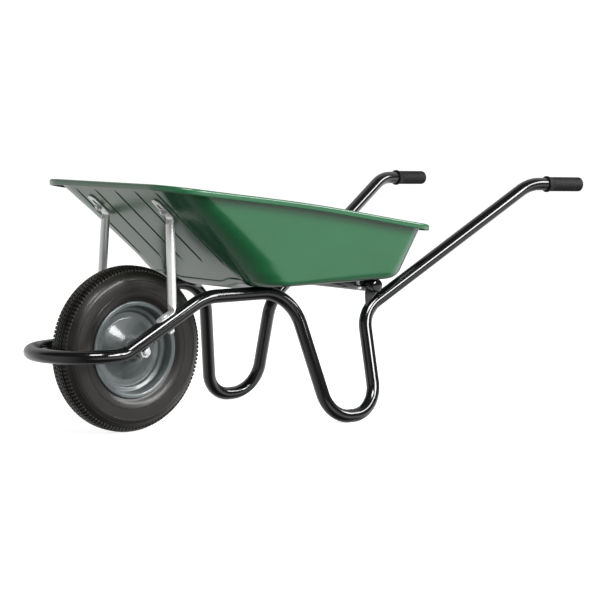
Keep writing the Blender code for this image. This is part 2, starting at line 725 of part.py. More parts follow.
def tyre_profile():
    """The tyre's C-shaped section: the outside from bead to bead, then the inside back."""
    inner_width = TYRE_HALF_WIDTH - TYRE_WALL
    outside = [(BEAD_RADIUS, BEAD_HALF_WIDTH), (0.1150, BEAD_HALF_WIDTH), (0.1250, 0.0385),
               (0.1500, TYRE_HALF_WIDTH), (WHEEL_RADIUS - 0.0220, 0.0385),
               (WHEEL_RADIUS - 0.0060, 0.0240), (WHEEL_RADIUS, 0.0080)]
    inside = [(BEAD_RADIUS, BEAD_HALF_WIDTH - 0.009), (0.1200, inner_width - 0.005),
              (0.1500, inner_width), (WHEEL_RADIUS - 0.0170, 0.0240),
              (WHEEL_RADIUS - 0.0100, 0.0100)]
    outside += [(radius, -height) for radius, height in reversed(outside)]
    inside += [(radius, -height) for radius, height in reversed(inside)]
    return outside + inside[::-1]


def make_tyre(spin):
    tyre = turned("tyre", tyre_profile(), RUBBER, 40)
    tyre.parent = spin


def make_inner_tube(spin, rim):
    """A thin ring in the tyre, with the valve through the rim."""
    minor = TYRE_HALF_WIDTH - TYRE_WALL - 0.0007
    major = 0.150
    profile = [(major + minor * math.cos(a), minor * math.sin(a))
               for a in (2 * math.pi * i / 8 for i in range(8))]
    tube = turned("inner_tube", profile, RUBBER, 24)
    tube.parent = spin
    wall = tube.modifiers.new("wall", "SOLIDIFY")
    wall.thickness = INNER_TUBE_WALL
    wall.offset = -1
    out = Vector((math.cos(VALVE_ANGLE), 0, math.sin(VALVE_ANGLE)))
    base = AXLE + ACROSS * VALVE_OFFSET
    top = major - minor * math.sqrt(1 - (VALVE_OFFSET / minor) ** 2) + 0.004
    stem = rod("valve_stem", VALVE_RADIUS, top - VALVE_LENGTH - 0.008, top, STEEL, 12)
    cap_top = top - VALVE_LENGTH
    cap_profile = [(0, cap_top - 0.010), (VALVE_RADIUS + 0.0015, cap_top - 0.010),
                   (VALVE_RADIUS + 0.0015, cap_top), (VALVE_RADIUS + GAP, cap_top),
                   (VALVE_RADIUS + GAP, cap_top - 0.008 - GAP), (0, cap_top - 0.008 - GAP)]
    cap = turned("valve_cap", cap_profile, RUBBER, 12, closed=False)
    for piece in (stem, cap):
        place(piece, base, out)
        attach(piece, spin)
    hole = VALVE_RADIUS + GAP
    for target, low, high in ((tube, top - 0.012, top + 0.008), (rim, top - 0.030, top)):
        tool = cutter(rod("valve_hole_" + target.name, hole, low, high, STEEL, 12))
        place(tool, base, out)
        boolean(target, tool)


def attach(piece, parent):
    """Parent a piece and keep it where it is."""
    world = piece.matrix_world.copy()
    piece.parent = parent
    bpy.context.view_layer.update()
    piece.matrix_parent_inverse = parent.matrix_world.inverted()
    piece.matrix_world = world


def make_hub(spin):
    hub = ring("hub_tube", HUB_RADIUS, HUB_BORE, -HUB_HALF_LENGTH, HUB_HALF_LENGTH, GREY,
               HUB_STEPS)
    hub.parent = spin
    for name, side in SIDES.items():
        bearing = ring("bearing_" + name, HUB_BORE - GAP, AXLE_RADIUS + GAP,
                       side * HUB_HALF_LENGTH, side * (HUB_HALF_LENGTH - BEARING_WIDTH), STEEL,
                       HUB_STEPS)
        bearing.parent = spin


def make_axle():
    """The fixed axle with its spacers, washers and nuts."""
    place(rod("axle", AXLE_RADIUS, -AXLE_END, AXLE_END, ZINC), AXLE, ACROSS)
    outer = BRACKET_INNER + PLATE
    for name, side in SIDES.items():
        direction = ACROSS * side
        bore = AXLE_RADIUS + GAP
        place(ring("spacer_" + name, 0.012, bore, HUB_HALF_LENGTH + GAP, BRACKET_INNER - GAP, ZINC),
              AXLE, direction)
        place(ring("axle_washer_" + name, AXLE_WASHER_RADIUS, bore, outer + GAP,
                   outer + GAP + WASHER, ZINC), AXLE, direction)
        nut = hexagon_nut("axle_nut_" + name, AXLE_NUT_RADIUS, AXLE_NUT_HEIGHT, bore)
        place(nut, AXLE + direction * (outer + 2 * GAP + WASHER), direction)


def make_wheel():
    """Everything that spins hangs from an empty on the axle's axis."""
    spin = bpy.data.objects.new("wheel_spin", None)
    PARTS.objects.link(spin)
    spin.matrix_world = Matrix.Translation(AXLE) @ turn_to(ACROSS)
    bpy.context.view_layer.update()
    rim = make_rims(spin)
    make_tyre(spin)
    make_hub(spin)
    make_inner_tube(spin, rim)


def main():
    tubes = make_frame()
    make_crossbar()
    make_front_tabs()
    make_axle_brackets()
    make_tray()
    make_tray_bolts()
    make_struts(tubes)
    make_grips()
    make_axle()
    make_wheel()


main()
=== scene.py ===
"""A builder's wheelbarrow with a pressed green tray, a bent black tube frame and a pneumatic wheel.

Metres, +Z up, wheel at -X and grips at +X. "left" is -Y, the left hand of the person who pushes it.
"""

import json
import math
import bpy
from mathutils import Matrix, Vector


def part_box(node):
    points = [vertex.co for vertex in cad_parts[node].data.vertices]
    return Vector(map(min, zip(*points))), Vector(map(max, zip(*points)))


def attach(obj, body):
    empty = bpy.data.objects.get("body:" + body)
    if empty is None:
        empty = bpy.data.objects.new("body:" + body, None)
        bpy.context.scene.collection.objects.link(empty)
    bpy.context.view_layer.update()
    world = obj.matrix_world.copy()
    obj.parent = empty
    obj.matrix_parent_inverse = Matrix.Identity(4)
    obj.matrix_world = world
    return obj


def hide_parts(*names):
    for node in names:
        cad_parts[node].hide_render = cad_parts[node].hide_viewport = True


bl_info = {
    "name": "Wheelbarrow",
    "version": (1, 0, 0),
    "blender": (4, 5, 0),
    "location": "View3D > Sidebar > Barrow",
    "description": "Builds the barrow's detailed pieces around its frame",
    "category": "Object",
}

import bmesh
import bpy
from bpy.props import FloatProperty, FloatVectorProperty, IntProperty, PointerProperty
from mathutils import Matrix, Vector

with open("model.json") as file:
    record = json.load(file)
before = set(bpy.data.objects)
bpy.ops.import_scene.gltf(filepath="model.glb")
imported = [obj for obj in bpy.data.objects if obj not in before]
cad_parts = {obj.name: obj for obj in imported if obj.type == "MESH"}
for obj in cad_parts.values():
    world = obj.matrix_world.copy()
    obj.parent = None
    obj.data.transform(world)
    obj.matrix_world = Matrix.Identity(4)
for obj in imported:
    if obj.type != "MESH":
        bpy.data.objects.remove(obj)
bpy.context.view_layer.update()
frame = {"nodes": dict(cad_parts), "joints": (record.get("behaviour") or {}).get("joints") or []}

SIDES = {"left": -1, "right": 1}
UP = Vector((0, 0, 1))
ACROSS = Vector((0, 1, 0))
AXLE = Vector(frame["joints"][0]["pos_m"])
ALONG = Vector((1, 0, 0))
GAP = 0.0003                    # between two pieces that touch
CENTRE_RADIUS = 0.0001          # where a turned profile starts, beside its axis


# ---------------------------------------------------------------- settings

def length(name, default, description):
    return FloatProperty(name=name, description=description, default=default, unit="LENGTH", precision=4)


def place_of(name, default, description):
    return FloatVectorProperty(name=name, description=description, default=default, size=3,
                               subtype="TRANSLATION", unit="LENGTH", precision=4)


def colour(name, default, description):
    return FloatVectorProperty(name=name, description=description, default=default, size=3,
                               subtype="COLOR", min=0, max=1)


class BarrowFrame(bpy.types.PropertyGroup):
    tube_radius: length("Tube radius", 0.016, "Outside radius of the frame tube")
    nose_radius: length("Nose radius", 0.127, "Half circle round the front of the wheel")
    nose_x: length("Nose centre", -0.5895, "Middle of the half circle, along the barrow")
    front_bend: place_of("Front bend", (-0.5695, 0.127, 0.2), "Where the nose starts to rise")
    rail_front: place_of("Rail front", (-0.367, 0.158, 0.3205), "Front corner of the rail")
    rail_rear: place_of("Rail rear", (-0.125, 0.171, 0.3205), "Rear corner of the rail")
    foot_front: place_of("Foot front", (-0.059, 0.240, 0.016), "Front corner of the foot")
    foot_rear: place_of("Foot rear", (0.0875, 0.240, 0.016), "Rear corner of the foot")
    knee: place_of("Knee", (0.0945, 0.182, 0.258), "Corner where the leg turns into the handle")
    handle_bend: place_of("Handle bend", (0.5655, 0.281, 0.556), "Corner before the grip")
    handle_end: place_of("Handle end", (0.7308, 0.299, 0.5505), "End of the grip")
    crossbar_x: length("Crossbar", 0.113, "Place of the rear crossbar")
    crossbar_half: length("Crossbar half length", 0.217, "From the middle to its closed end")
    gusset_half: length("Gusset half width", 0.190, "From the middle plane to the gusset")
    plate: length("Plate", 0.004, "Thickness of gussets, ears, tabs and brackets")
    bracket_inner: length("Bracket inner", 0.061, "Inner face of the axle bracket")
    front_bolt_x: length("Front bolt", -0.165, "Place of the front tray bolts")
    rear_bolt_half: length("Rear bolt half width", 0.175, "From the middle to the rear tray bolts")


class BarrowTray(bpy.types.PropertyGroup):
    sheet: length("Sheet", 0.001, "Thickness of the pressed sheet")
    floor_z: length("Floor height", 0.3368, "Underside of the floor on the rails")
    floor_front: length("Floor front", -0.252, "Where the slope meets the floor")
    floor_rear: length("Floor rear", 0.181, "Where the rear wall meets the floor")
    floor_half: length("Floor half width", 0.245, "Half the width of the floor")
    rim_front: length("Rim front", -0.5257, "Top of the slope")
    rim_rear: length("Rim rear", 0.236, "Top of the rear wall")
    rim_half: length("Rim half width", 0.268, "Half the width between the tops of the walls")
    rim_rise: length("Rim rise", 0.2465, "Front rim above the floor")
    rim_fall: FloatProperty(name="Rim fall", description="Drop of the rim towards the handles",
                            default=0.155)
    rim_crown: length("Rim crown", 0.006, "How far the rim bows up between its ends")
    lip_width: length("Lip width", 0.018, "Flange that stands out of the walls")
    lip_depth: length("Lip depth", 0.0125, "Turned-down edge of the flange")
    pan_drop: length("Pan drop", 0.0115, "How far the floor dips between the rails")
    rib_depth: length("Rib depth", 0.0032, "Depth of the ribs pressed into the slope")
    rib_half: length("Rib half width", 0.0042, "Half the width of a rib")
    rib_step: length("Rib step", 0.0825, "Distance between the slope's ribs")


class BarrowWheel(bpy.types.PropertyGroup):
    tread_pitches: IntProperty(name="Tread pitches", description="Tread blocks around the tyre",
                               default=124, min=12)
    tread_depth: length("Tread depth", 0.0044, "Depth of the tread grooves")
    flange_radius: length("Flange radius", 0.1130, "Outside radius of the rim")
    hub_radius: length("Hub radius", 0.0222, "Outside radius of the hub tube")
    hub_half: length("Hub half length", 0.050, "From the middle to the end of the hub tube")
    axle_radius: length("Axle radius", 0.008, "Radius of the axle")
    axle_end: length("Axle end", 0.084, "From the middle to the end of the axle")


class BarrowFasteners(bpy.types.PropertyGroup):
    bolt_radius: length("Bolt radius", 0.004, "Radius of the tray and strut bolts")
    head_radius: length("Head radius", 0.0095, "Radius of the domed bolt heads")
    nut_half: length("Nut half width", 0.0075, "Half the distance across a nut's flats")
    nut_height: length("Nut height", 0.0065, "Height of a nut")
    thread_pitch: length("Thread pitch", 0.00125, "Pitch of the bolts' thread")
    strut_radius: length("Strut radius", 0.0104, "Radius of the round part of a strut")
    strut_top: place_of("Strut top", (-0.4417, 0.1316, 0), "Upper bend of the strut, on the slope")


class BarrowFinish(bpy.types.PropertyGroup):
    tray: colour("Tray", (0.010, 0.100, 0.035), "Green paint of the tray")
    frame: colour("Frame", (0.004, 0.004, 0.0045), "Black paint of the frame")
    rim: colour("Rim", (0.108, 0.126, 0.128), "Slate grey paint of the wheel discs")
    zinc: colour("Zinc", (0.88, 0.885, 0.90), "Bright zinc of struts and bolts")
    rubber: colour("Rubber", (0.0062, 0.0058, 0.0052), "Tyre rubber")
    grip: colour("Grip", (0.0045, 0.0046, 0.0050), "Grip rubber")
    steel: colour("Steel", (0.52, 0.52, 0.53), "Turned steel of the bearings and the valve stem")
    floor: colour("Floor", (0.86, 0.86, 0.86), "Studio floor")


class BarrowStage(bpy.types.PropertyGroup):
    camera: place_of("Camera", (-3.072, -3.835, 0.781), "Place of the camera")
    yaw: FloatProperty(name="Yaw", description="Heading of the camera", subtype="ANGLE",
                       default=math.radians(50.904))
    pitch: FloatProperty(name="Pitch", description="Tilt of the camera", subtype="ANGLE",
                         default=math.radians(-5.86))
    roll: FloatProperty(name="Roll", description="Roll of the camera", subtype="ANGLE",
                        default=math.radians(-0.198))
    lens: FloatProperty(name="Lens", description="Focal length in millimetres", default=119.56)


GROUPS = {"barrow_frame": BarrowFrame, "barrow_tray": BarrowTray, "barrow_wheel": BarrowWheel,
          "barrow_fasteners": BarrowFasteners, "barrow_finish": BarrowFinish,
          "barrow_stage": BarrowStage}


# ---------------------------------------------------------------- finishes

class Value:
    """A socket of a material that takes part in Python arithmetic."""

    def __init__(self, finish, socket):
        self.finish = finish
        self.socket = socket

    def maths(self, operation, *values):
        return self.finish.node("ShaderNodeMath", {"operation": operation}, dict(enumerate(values)))

    def __add__(self, other):
        return self.maths("ADD", self, other)

    def __mul__(self, other):
        return self.maths("MULTIPLY", self, other)

    def __sub__(self, other):
        return self.maths("SUBTRACT", self, other)

    def __rsub__(self, other):
        return self.maths("SUBTRACT", other, self)

    def __pow__(self, other):
        return self.maths("POWER", self, other)

    __radd__ = __add__
    __rmul__ = __mul__

    def clamped(self, low, high):
        """0 below low, 1 above high and a smooth step between."""
        settings = {"interpolation_type": "SMOOTHSTEP"}
        return self.finish.node("ShaderNodeMapRange", settings,
                                {"Value": self, "From Min": low, "From Max": high})


class Nodes:
    """The nodes of a material or of the world."""

    def __init__(self, tree):
        self.tree = tree

    def node(self, kind, settings=None, sockets=None, out=0):
        """Add a node: its settings first, then the values or links of its sockets."""
        node = self.tree.nodes.new(kind)
        for key, value in (settings or {}).items():
            setattr(node, key, value)
        self.fill(node, sockets or {})
        return Value(self, node.outputs[out])

    def fill(self, node, sockets):
        for key, value in sockets.items():
            if isinstance(value, Value):
                self.tree.links.new(value.socket, node.inputs[key])
            else:
                is_colour = node.inputs[key].type == "RGBA" and len(value) == 3
                node.inputs[key].default_value = (*value, 1) if is_colour else value


class Finish(Nodes):
    """A material, its shader and the nodes that feed it."""

    def __init__(self, name):
        self.material = bpy.data.materials.new(name)
        self.material.use_nodes = True
        super().__init__(self.material.node_tree)
        self.shader = self.tree.nodes["Principled BSDF"]
        self.coordinate = self.node("ShaderNodeTexCoord", out="Object")

    def noise(self, scale, detail=3.0, roughness=0.5, at=None):
        return self.node("ShaderNodeTexNoise", {},
                         {"Vector": at or self.coordinate, "Scale": scale, "Detail": detail,
                          "Roughness": roughness}, out="Fac")

    def stretched(self, x, y, z):
        return self.node("ShaderNodeMapping", {}, {"Vector": self.coordinate, "Scale": (x, y, z)})

    def cells(self, scale, out="Color", at=None):
        return self.node("ShaderNodeTexVoronoi", {}, {"Vector": at or self.coordinate, "Scale": scale},
                         out=out)

    def mix(self, factor, first, second):
        return self.node("ShaderNodeMix", {"data_type": "RGBA"}, {0: factor, 6: first, 7: second}, out=2)

    def split(self, vector):
        made = self.node("ShaderNodeSeparateXYZ", {}, {0: vector})
        node = made.socket.node
        return [Value(self, node.outputs[i]) for i in range(3)]

    def bump(self, height, distance, strength=1.0, onto=None):
        sockets = {"Height": height, "Distance": distance, "Strength": strength}
        if onto:
            sockets["Normal"] = onto
        return self.node("ShaderNodeBump", {}, sockets)

    def finish(self, **sockets):
        self.fill(self.shader, {key.replace("_", " "): value for key, value in sockets.items()})
        return self.material


def tinted(base, factor):
    """A colour made lighter or darker by a factor."""
    return tuple(min(1.0, channel * factor) for channel in base)


def paint(name, base, roughness, peel, dust, coat):
    """Gloss powder coat: slight cloudiness, orange peel, rubbed spots and a little dust."""
    made = Finish(name)
    clouds = made.noise(9.0, 4.0)
    grain = made.noise(900.0, 2.0)
    rubbed = made.noise(55.0, 6.0, 0.7).clamped(0.60, 0.74)
    tone = made.mix(clouds, tinted(base, 0.88), tinted(base, 1.14))
    tone = made.mix(rubbed * dust, tone, tuple(0.9 * c + 0.03 for c in base))
    speck = made.noise(2400.0, 1.0).clamped(0.66, 0.78)
    tone = made.mix(speck * 0.10, tone, tinted(base, 1.9))
    surface = made.bump(made.noise(peel, 2.0), 0.00012, 0.22)
    surface = made.bump(grain, 0.00002, 0.35, surface)
    rough = roughness * 0.8 + clouds * (roughness * 0.35) + rubbed * 0.03
    return made.finish(Base_Color=tone, Roughness=rough, Normal=surface, Coat_Weight=0.55,
                       Coat_Roughness=coat)


def tray_paint(colours):
    return paint("tray_paint_gloss", colours.tray, 0.30, 330.0, 0.05, 0.16)


def frame_paint(colours):
    return paint("frame_paint_gloss", colours.frame, 0.13, 420.0, 0.04, 0.05)


def rim_paint(colours):
    """Slate paint with fine turning rings from the pressed discs."""
    made = Finish("rim_paint_gloss")
    clouds = made.noise(14.0, 4.0)
    radius = wheel_radius(made)
    rings = made.noise(1.0, 2.0, at=made.node("ShaderNodeCombineXYZ", {}, {0: radius * 420.0}))
    dust = (made.noise(38.0, 6.0, 0.72) * (1.0 - radius.clamped(0.085, 0.110))).clamped(0.42, 0.62)
    tone = made.mix(clouds, tinted(colours.rim, 0.85), tinted(colours.rim, 1.18))
    tone = made.mix(dust * 0.25, tone, (0.24, 0.23, 0.21))
    surface = made.bump(made.noise(380.0, 2.0), 0.0001, 0.2)
    surface = made.bump(rings, 0.00003, 0.3, surface)
    return made.finish(Base_Color=tone, Roughness=0.24 + clouds * 0.10 + dust * 0.15, Normal=surface,
                       Coat_Weight=0.4, Coat_Roughness=0.07, Metallic=0.10)


def zinc_plate(colours):
    """Zinc plate: faint crystals, drawn lines and a warm and blue bloom."""
    made = Finish("zinc_plate")
    crystals = made.cells(260.0)
    bloom = made.noise(30.0, 4.0)
    lines = made.noise(160.0, 4.0, at=made.stretched(6.0, 6.0, 0.25))
    tone = made.mix(bloom, tinted(colours.zinc, 0.90), (0.86, 0.86, 0.84))
    tone = made.mix(made.node("ShaderNodeRGBToBW", {}, {0: crystals}) * 0.10, tone,
                    (0.62, 0.65, 0.70))
    white_rust = made.noise(85.0, 7.0, 0.75).clamped(0.63, 0.75)
    tone = made.mix(white_rust * 0.35, tone, (0.55, 0.54, 0.52))
    rough = 0.30 + bloom * 0.12 + white_rust * 0.15
    return made.finish(Base_Color=tone, Roughness=rough, Metallic=0.50 - white_rust * 0.20,
                       Normal=made.bump(lines, 0.00003, 0.25))


def turned_steel(colours):
    """Bare steel with fine turning lines and an oil film."""
    made = Finish("turned_steel")
    lines = made.noise(700.0, 2.0, at=made.stretched(0.2, 1.0, 0.2))
    oil = made.noise(45.0, 5.0)
    tone = made.mix(oil, (0.34, 0.33, 0.32), colours.steel)
    return made.finish(Base_Color=tone, Roughness=0.26 + oil * 0.2, Metallic=1.0,
                       Normal=made.bump(lines, 0.00008, 0.5))


def wheel_radius(made):
    """Distance from the wheel's axis."""
    x, _, z = made.split(made.coordinate)
    along, up = x - AXLE.x, z - AXLE.z
    return (along * along + up * up) ** 0.5


def tyre_rubber(colours):
    """Moulded rubber: mould lines round the sidewall, a brown bloom and patches of dust."""
    made = Finish("tyre_rubber_moulded")
    radius = wheel_radius(made)
    rings = made.noise(1.0, 1.0, at=made.node("ShaderNodeCombineXYZ", {}, {0: radius * 260.0}))
    bloom = made.noise(18.0, 5.0, 0.6)
    dust = made.noise(120.0, 6.0, 0.75).clamped(0.56, 0.74)
    side = 1.0 - radius.clamped(0.165, 0.180)
    tone = made.mix(bloom, tinted(colours.rubber, 0.8), (0.018, 0.0155, 0.012))
    tone = made.mix(dust * 0.25, tone, (0.040, 0.037, 0.031))
    surface = made.bump(made.noise(1500.0, 3.0), 0.00012, 0.5)
    surface = made.bump(rings * side, 0.0005, 0.35, surface)
    return made.finish(Base_Color=tone, Roughness=0.32 + bloom * 0.26 + dust * 0.15, Normal=surface,
                       Specular_IOR_Level=0.30, Coat_Weight=0.32, Coat_Roughness=0.20)


def grip_rubber(colours):
    """Finely grained rubber, paler where hands have worn it."""
    made = Finish("grip_rubber_grained")
    grain = made.cells(900.0, "Distance")
    worn = made.noise(28.0, 5.0)
    tone = made.mix(worn, tinted(colours.grip, 0.8), tinted(colours.grip, 1.35))
    return made.finish(Base_Color=tone, Roughness=0.55 + worn * 0.15, Specular_IOR_Level=0.3,
                       Normal=made.bump(grain, 0.00035, 0.5))


def studio_floor(colours):
    """A pale matte floor that glows enough to meet the white background."""
    made = Finish("studio_floor")
    tone = made.mix(made.noise(3.0, 4.0), tinted(colours.floor, 0.99), colours.floor)
    return made.finish(Base_Color=tone, Roughness=0.9, Specular_IOR_Level=0.0, Emission_Strength=0.80,
                       Emission_Color=(1.0, 1.0, 1.0))


FINISHES = {"tray_paint": tray_paint, "frame_paint": frame_paint, "rim_paint": rim_paint,
            "zinc": zinc_plate, "bearing_steel": turned_steel, "tyre_rubber": tyre_rubber,
            "grip_rubber": grip_rubber, "studio_floor": studio_floor}
made_finishes = {}


def finish_of(slot):
    """The material of a slot, made the first time that it is asked for."""
    if slot not in made_finishes:
        made_finishes[slot] = FINISHES[slot](bpy.context.scene.barrow_finish)
    return made_finishes[slot]


# ---------------------------------------------------------------- shapes

def mirrored(point, side):
    """A point of the right half, or its mirror image for side -1."""
    return Vector((point[0], point[1] * side, point[2]))


def smooth_step(low, high, value):
    t = min(1.0, max(0.0, (value - low) / (high - low)))
    return t * t * (3 - 2 * t)


def arms_round(axis):
    """Two directions square to an axis and to each other."""
    across = axis.orthogonal().normalized()
    return across, axis.cross(across)


def curve_between(first, middle, last, t):
    """Points at a share t of the curves that leave first towards middle and end in last."""
    return [a * (1 - t) ** 2 + b * 2 * t * (1 - t) + c * t ** 2 for a, b, c in zip(first, middle, last)]


def fillet(points, radii, step=math.radians(4)):
    """Round the inner corners of a path with arcs of the given radii."""
    points = [Vector(point) for point in points]
    path = [points[0]]
    for before, corner, after, radius in zip(points, points[1:], points[2:], radii):
        back, ahead = (before - corner).normalized(), (after - corner).normalized()
        half = back.angle(ahead) / 2
        if radius <= 0 or half > math.pi / 2 - 0.001:
            path.append(corner)
            continue
        middle = corner + (back + ahead).normalized() * (radius / math.sin(half))
        first = corner + back * (radius / math.tan(half)) - middle
        last = corner + ahead * (radius / math.tan(half)) - middle
        sweep = math.pi - 2 * half
        count = max(3, math.ceil(sweep / step))
        for i in range(count + 1):
            arm = first * math.sin((1 - i / count) * sweep) + last * math.sin(i / count * sweep)
            path.append(middle + arm / math.sin(sweep))
    path.append(points[-1])
    return path


def skin(rings, around=True, along=False, caps=False):
    """Faces through rings that have the same number of points."""
    count, total = len(rings[0]), len(rings)
    vertices = [point for ring in rings for point in ring]
    faces = []
    for level in range(total if along else total - 1):
        low, high = level * count, (level + 1) % total * count
        for i in range(count if around else count - 1):
            j = (i + 1) % count
            faces.append((low + i, low + j, high + j, high + i))
    if caps:
        faces.append(tuple(range(count))[::-1])
        faces.append(tuple(range((total - 1) * count, total * count)))
    return vertices, faces


def joined(*shapes):
    """Several shapes as one list of vertices and faces."""
    vertices, faces = [], []
    for more_vertices, more_faces in shapes:
        start = len(vertices)
        vertices += more_vertices
        faces += [tuple(start + i for i in face) for face in more_faces]
    return vertices, faces


def piece(name, shape, slot, body="barrow", stands_for=(), sharp=32, soften=0.0, outward=True):
    """A smooth-shaded piece that rides on a body."""
    mesh = bpy.data.meshes.new(name)
    mesh.from_pydata([tuple(v) for v in shape[0]], [], shape[1])
    work = bmesh.new()
    work.from_mesh(mesh)
    bmesh.ops.remove_doubles(work, verts=work.verts, dist=1e-6)
    bmesh.ops.dissolve_degenerate(work, edges=work.edges, dist=1e-6)
    if outward:
        bmesh.ops.recalc_face_normals(work, faces=work.faces)
    if soften:
        edges = [edge for edge in work.edges
                 if len(edge.link_faces) == 2 and edge.calc_face_angle(0) > math.radians(sharp)]
        bmesh.ops.bevel(work, geom=edges, offset=soften, segments=3, profile=0.5, affect="EDGES",
                        clamp_overlap=True)
    work.to_mesh(mesh)
    work.free()
    mesh.polygons.foreach_set("use_smooth", [True] * len(mesh.polygons))
    mesh.set_sharp_from_angle(angle=math.radians(sharp))
    mesh.materials.append(finish_of(slot))
    obj = bpy.data.objects.new(name, mesh)
    bpy.context.scene.collection.objects.link(obj)
    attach(obj, body)
    if stands_for:
        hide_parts(*stands_for)
    return obj


def frames_along(path, first_side):
    """A tangent, a side and a lift vector at each point of a path, with no twist."""
    frames, side = [], Vector(first_side)
    for i in range(len(path)):
        tangent = (path[min(i + 1, len(path) - 1)] - path[max(i - 1, 0)]).normalized()
        side = (side - tangent * side.dot(tangent)).normalized()
        frames.append((tangent, side, tangent.cross(side)))
    return frames


def circle(count):
    """Points round a circle of radius 1."""
    return [(math.cos(2 * math.pi * i / count), math.sin(2 * math.pi * i / count)) for i in range(count)]


def tube(path, radius, count=40, rounded=0.0, first_side=(0, 0, 1)):
    """A round bar along a path. Its ends are flat, or domed by a share of the radius."""
    rings = []
    frames = frames_along(path, first_side)
    for point, (_, side, lift) in zip(path, frames):
        rings.append([point + (side * c + lift * s) * radius for c, s in circle(count)])
    if rounded:
        for at_start in (True, False):
            point, (tangent, side, lift) = (path[0], frames[0]) if at_start else (path[-1], frames[-1])
            out = -tangent if at_start else tangent
            dome = []
            for step in range(1, 8):
                angle = math.pi / 2 * step / 8
                middle = point + out * (radius * rounded * math.sin(angle))
                dome.append([middle + (side * c + lift * s) * (radius * math.cos(angle))
                             for c, s in circle(count)])
            rings = dome[::-1] + rings if at_start else rings + dome
    return skin(rings, caps=True)


def lathed(profile, count=64, centre=None, axis=ACROSS, closed=True):
    """Turn a profile of (radius, height) points about an axis."""
    centre = AXLE if centre is None else centre
    across, third = arms_round(axis)
    rings = []
    for c, s in circle(count):
        arm = across * c + third * s
        rings.append([centre + arm * radius + axis * height for radius, height in profile])
    return skin(rings, around=closed, along=True)


def rounded_profile(points, radii, step=math.radians(15)):
    """Round the corners of an open line of (radius, height) points."""
    flat = [Vector((a, 0, b)) for a, b in points]
    return [(point.x, point.z) for point in fillet(flat, radii, step)]


def thickened(line, thickness):
    """A closed section around an open line of (radius, height) points."""
    sides = ([], [])
    for i, (a, b) in enumerate(line):
        before, after = line[max(i - 1, 0)], line[min(i + 1, len(line) - 1)]
        run, rise = after[0] - before[0], after[1] - before[1]
        size = math.hypot(run, rise) or 1.0
        for sign, side in zip((0.5, -0.5), sides):
            side.append((a - rise / size * thickness * sign, b + run / size * thickness * sign))
    return sides[0] + sides[1][::-1]


def flat_plate(outline, thickness, centre, across, up):
    """An extruded outline, centred on its thickness."""
    normal = across.cross(up).normalized()
    rings = [[centre + across * a + up * b + normal * (thickness * k) for a, b in outline]
             for k in (-0.5, 0.5)]
    return skin(rings, caps=True)


def rounded_rectangle(low_a, high_a, low_b, high_b, radius):
    """An outline with four round corners, anticlockwise."""
    corners = ((high_a, high_b, 0), (low_a, high_b, 90), (low_a, low_b, 180), (high_a, low_b, 270))
    outline = []
    for a, b, start in corners:
        middle = (a - math.copysign(radius, a - (low_a + high_a) / 2),
                  b - math.copysign(radius, b - (low_b + high_b) / 2))
        for i in range(7):
            angle = math.radians(start + 15 * i)
            outline.append((middle[0] + radius * math.cos(angle), middle[1] + radius * math.sin(angle)))
    return outline


def weld(points, radius, ripple=0.0028):
    """A rippled bead along a line."""
    start, end = Vector(points[0]), Vector(points[-1])
    line = []
    for a, b in zip(points, points[1:]):
        a, b = Vector(a), Vector(b)
        count = max(2, round((b - a).length / (ripple / 4)))
        line += [a.lerp(b, i / count) for i in range(count)]
    line.append(end)
    frames = frames_along(line, (start - end).orthogonal())
    rings, travelled = [], 0.0
    for i, (point, (_, side, lift)) in enumerate(zip(line, frames)):
        travelled += (point - line[max(i - 1, 0)]).length
        swell = radius * (1 + 0.16 * math.sin(2 * math.pi * travelled / ripple))
        swell *= min(1.0, 0.35 + min(i, len(line) - 1 - i) / 4)
        rings.append([point + (side * c + lift * s) * swell for c, s in circle(12)])
    return skin(rings, caps=True)


# ---------------------------------------------------------------- frame pieces

# Bend radii of the frame tube at the handle, the knee, the foot's two corners, the rail's two corners
# and the front bend.
FRAME_BENDS = (0.100, 0.077, 0.075, 0.075, 0.105, 0.115, 0.065)
GRIP_END_WALL = 0.0043          # the tube stops this far inside the grip's end
BOLT_TO_RAIL = 0.0118           # from a tray bolt's axis to the face of the tube beside it
BRACKET_FRONT = -0.036          # front end of the axle bracket, along the rising tube from the axle
BRACKET_LENGTH = 0.054


def half_frame_path(sizes):
    """The right half of the frame tube, from inside the grip to the start of the nose's half circle."""
    end = Vector(sizes.handle_end)
    grip = end - (end - Vector(sizes.handle_bend)).normalized() * GRIP_END_WALL
    loop_start = Vector((sizes.nose_x, sizes.nose_radius, sizes.front_bend[2]))
    corners = [grip, sizes.handle_bend, sizes.knee, sizes.foot_rear, sizes.foot_front, sizes.rail_rear,
               sizes.rail_front, sizes.front_bend, loop_start]
    return fillet(corners, FRAME_BENDS)


def rising_tube(sizes, side):
    """The straight from the nose up to the rail: its start, end, direction and upward normal."""
    start, end = mirrored(sizes.front_bend, side), mirrored(sizes.rail_front, side)
    along = (end - start).normalized()
    above = Vector((-along.z, 0, along.x)).normalized()
    return start, end, along, above


class BARROW_OT_frame_tube(bpy.types.Operator):
    """The one bent tube from grip to grip"""
    bl_idname = "barrow.frame_tube"
    bl_label = "Frame Tube"

    def execute(self, context):
        sizes = context.scene.barrow_frame
        half = half_frame_path(sizes)
        height = sizes.front_bend[2]
        loop, steps = [], 60
        for i in range(1, steps):
            angle = math.pi / 2 + math.pi * i / steps
            loop.append(Vector((sizes.nose_x + sizes.nose_radius * math.cos(angle),
                                sizes.nose_radius * math.sin(angle), height)))
        path = half + loop + [mirrored(point, -1) for point in reversed(half)]
        piece("frame_tube", tube(path, sizes.tube_radius, 40), "frame_paint",
              stands_for=("nose_tube", "side_tube_left", "side_tube_right"))
        return {"FINISHED"}


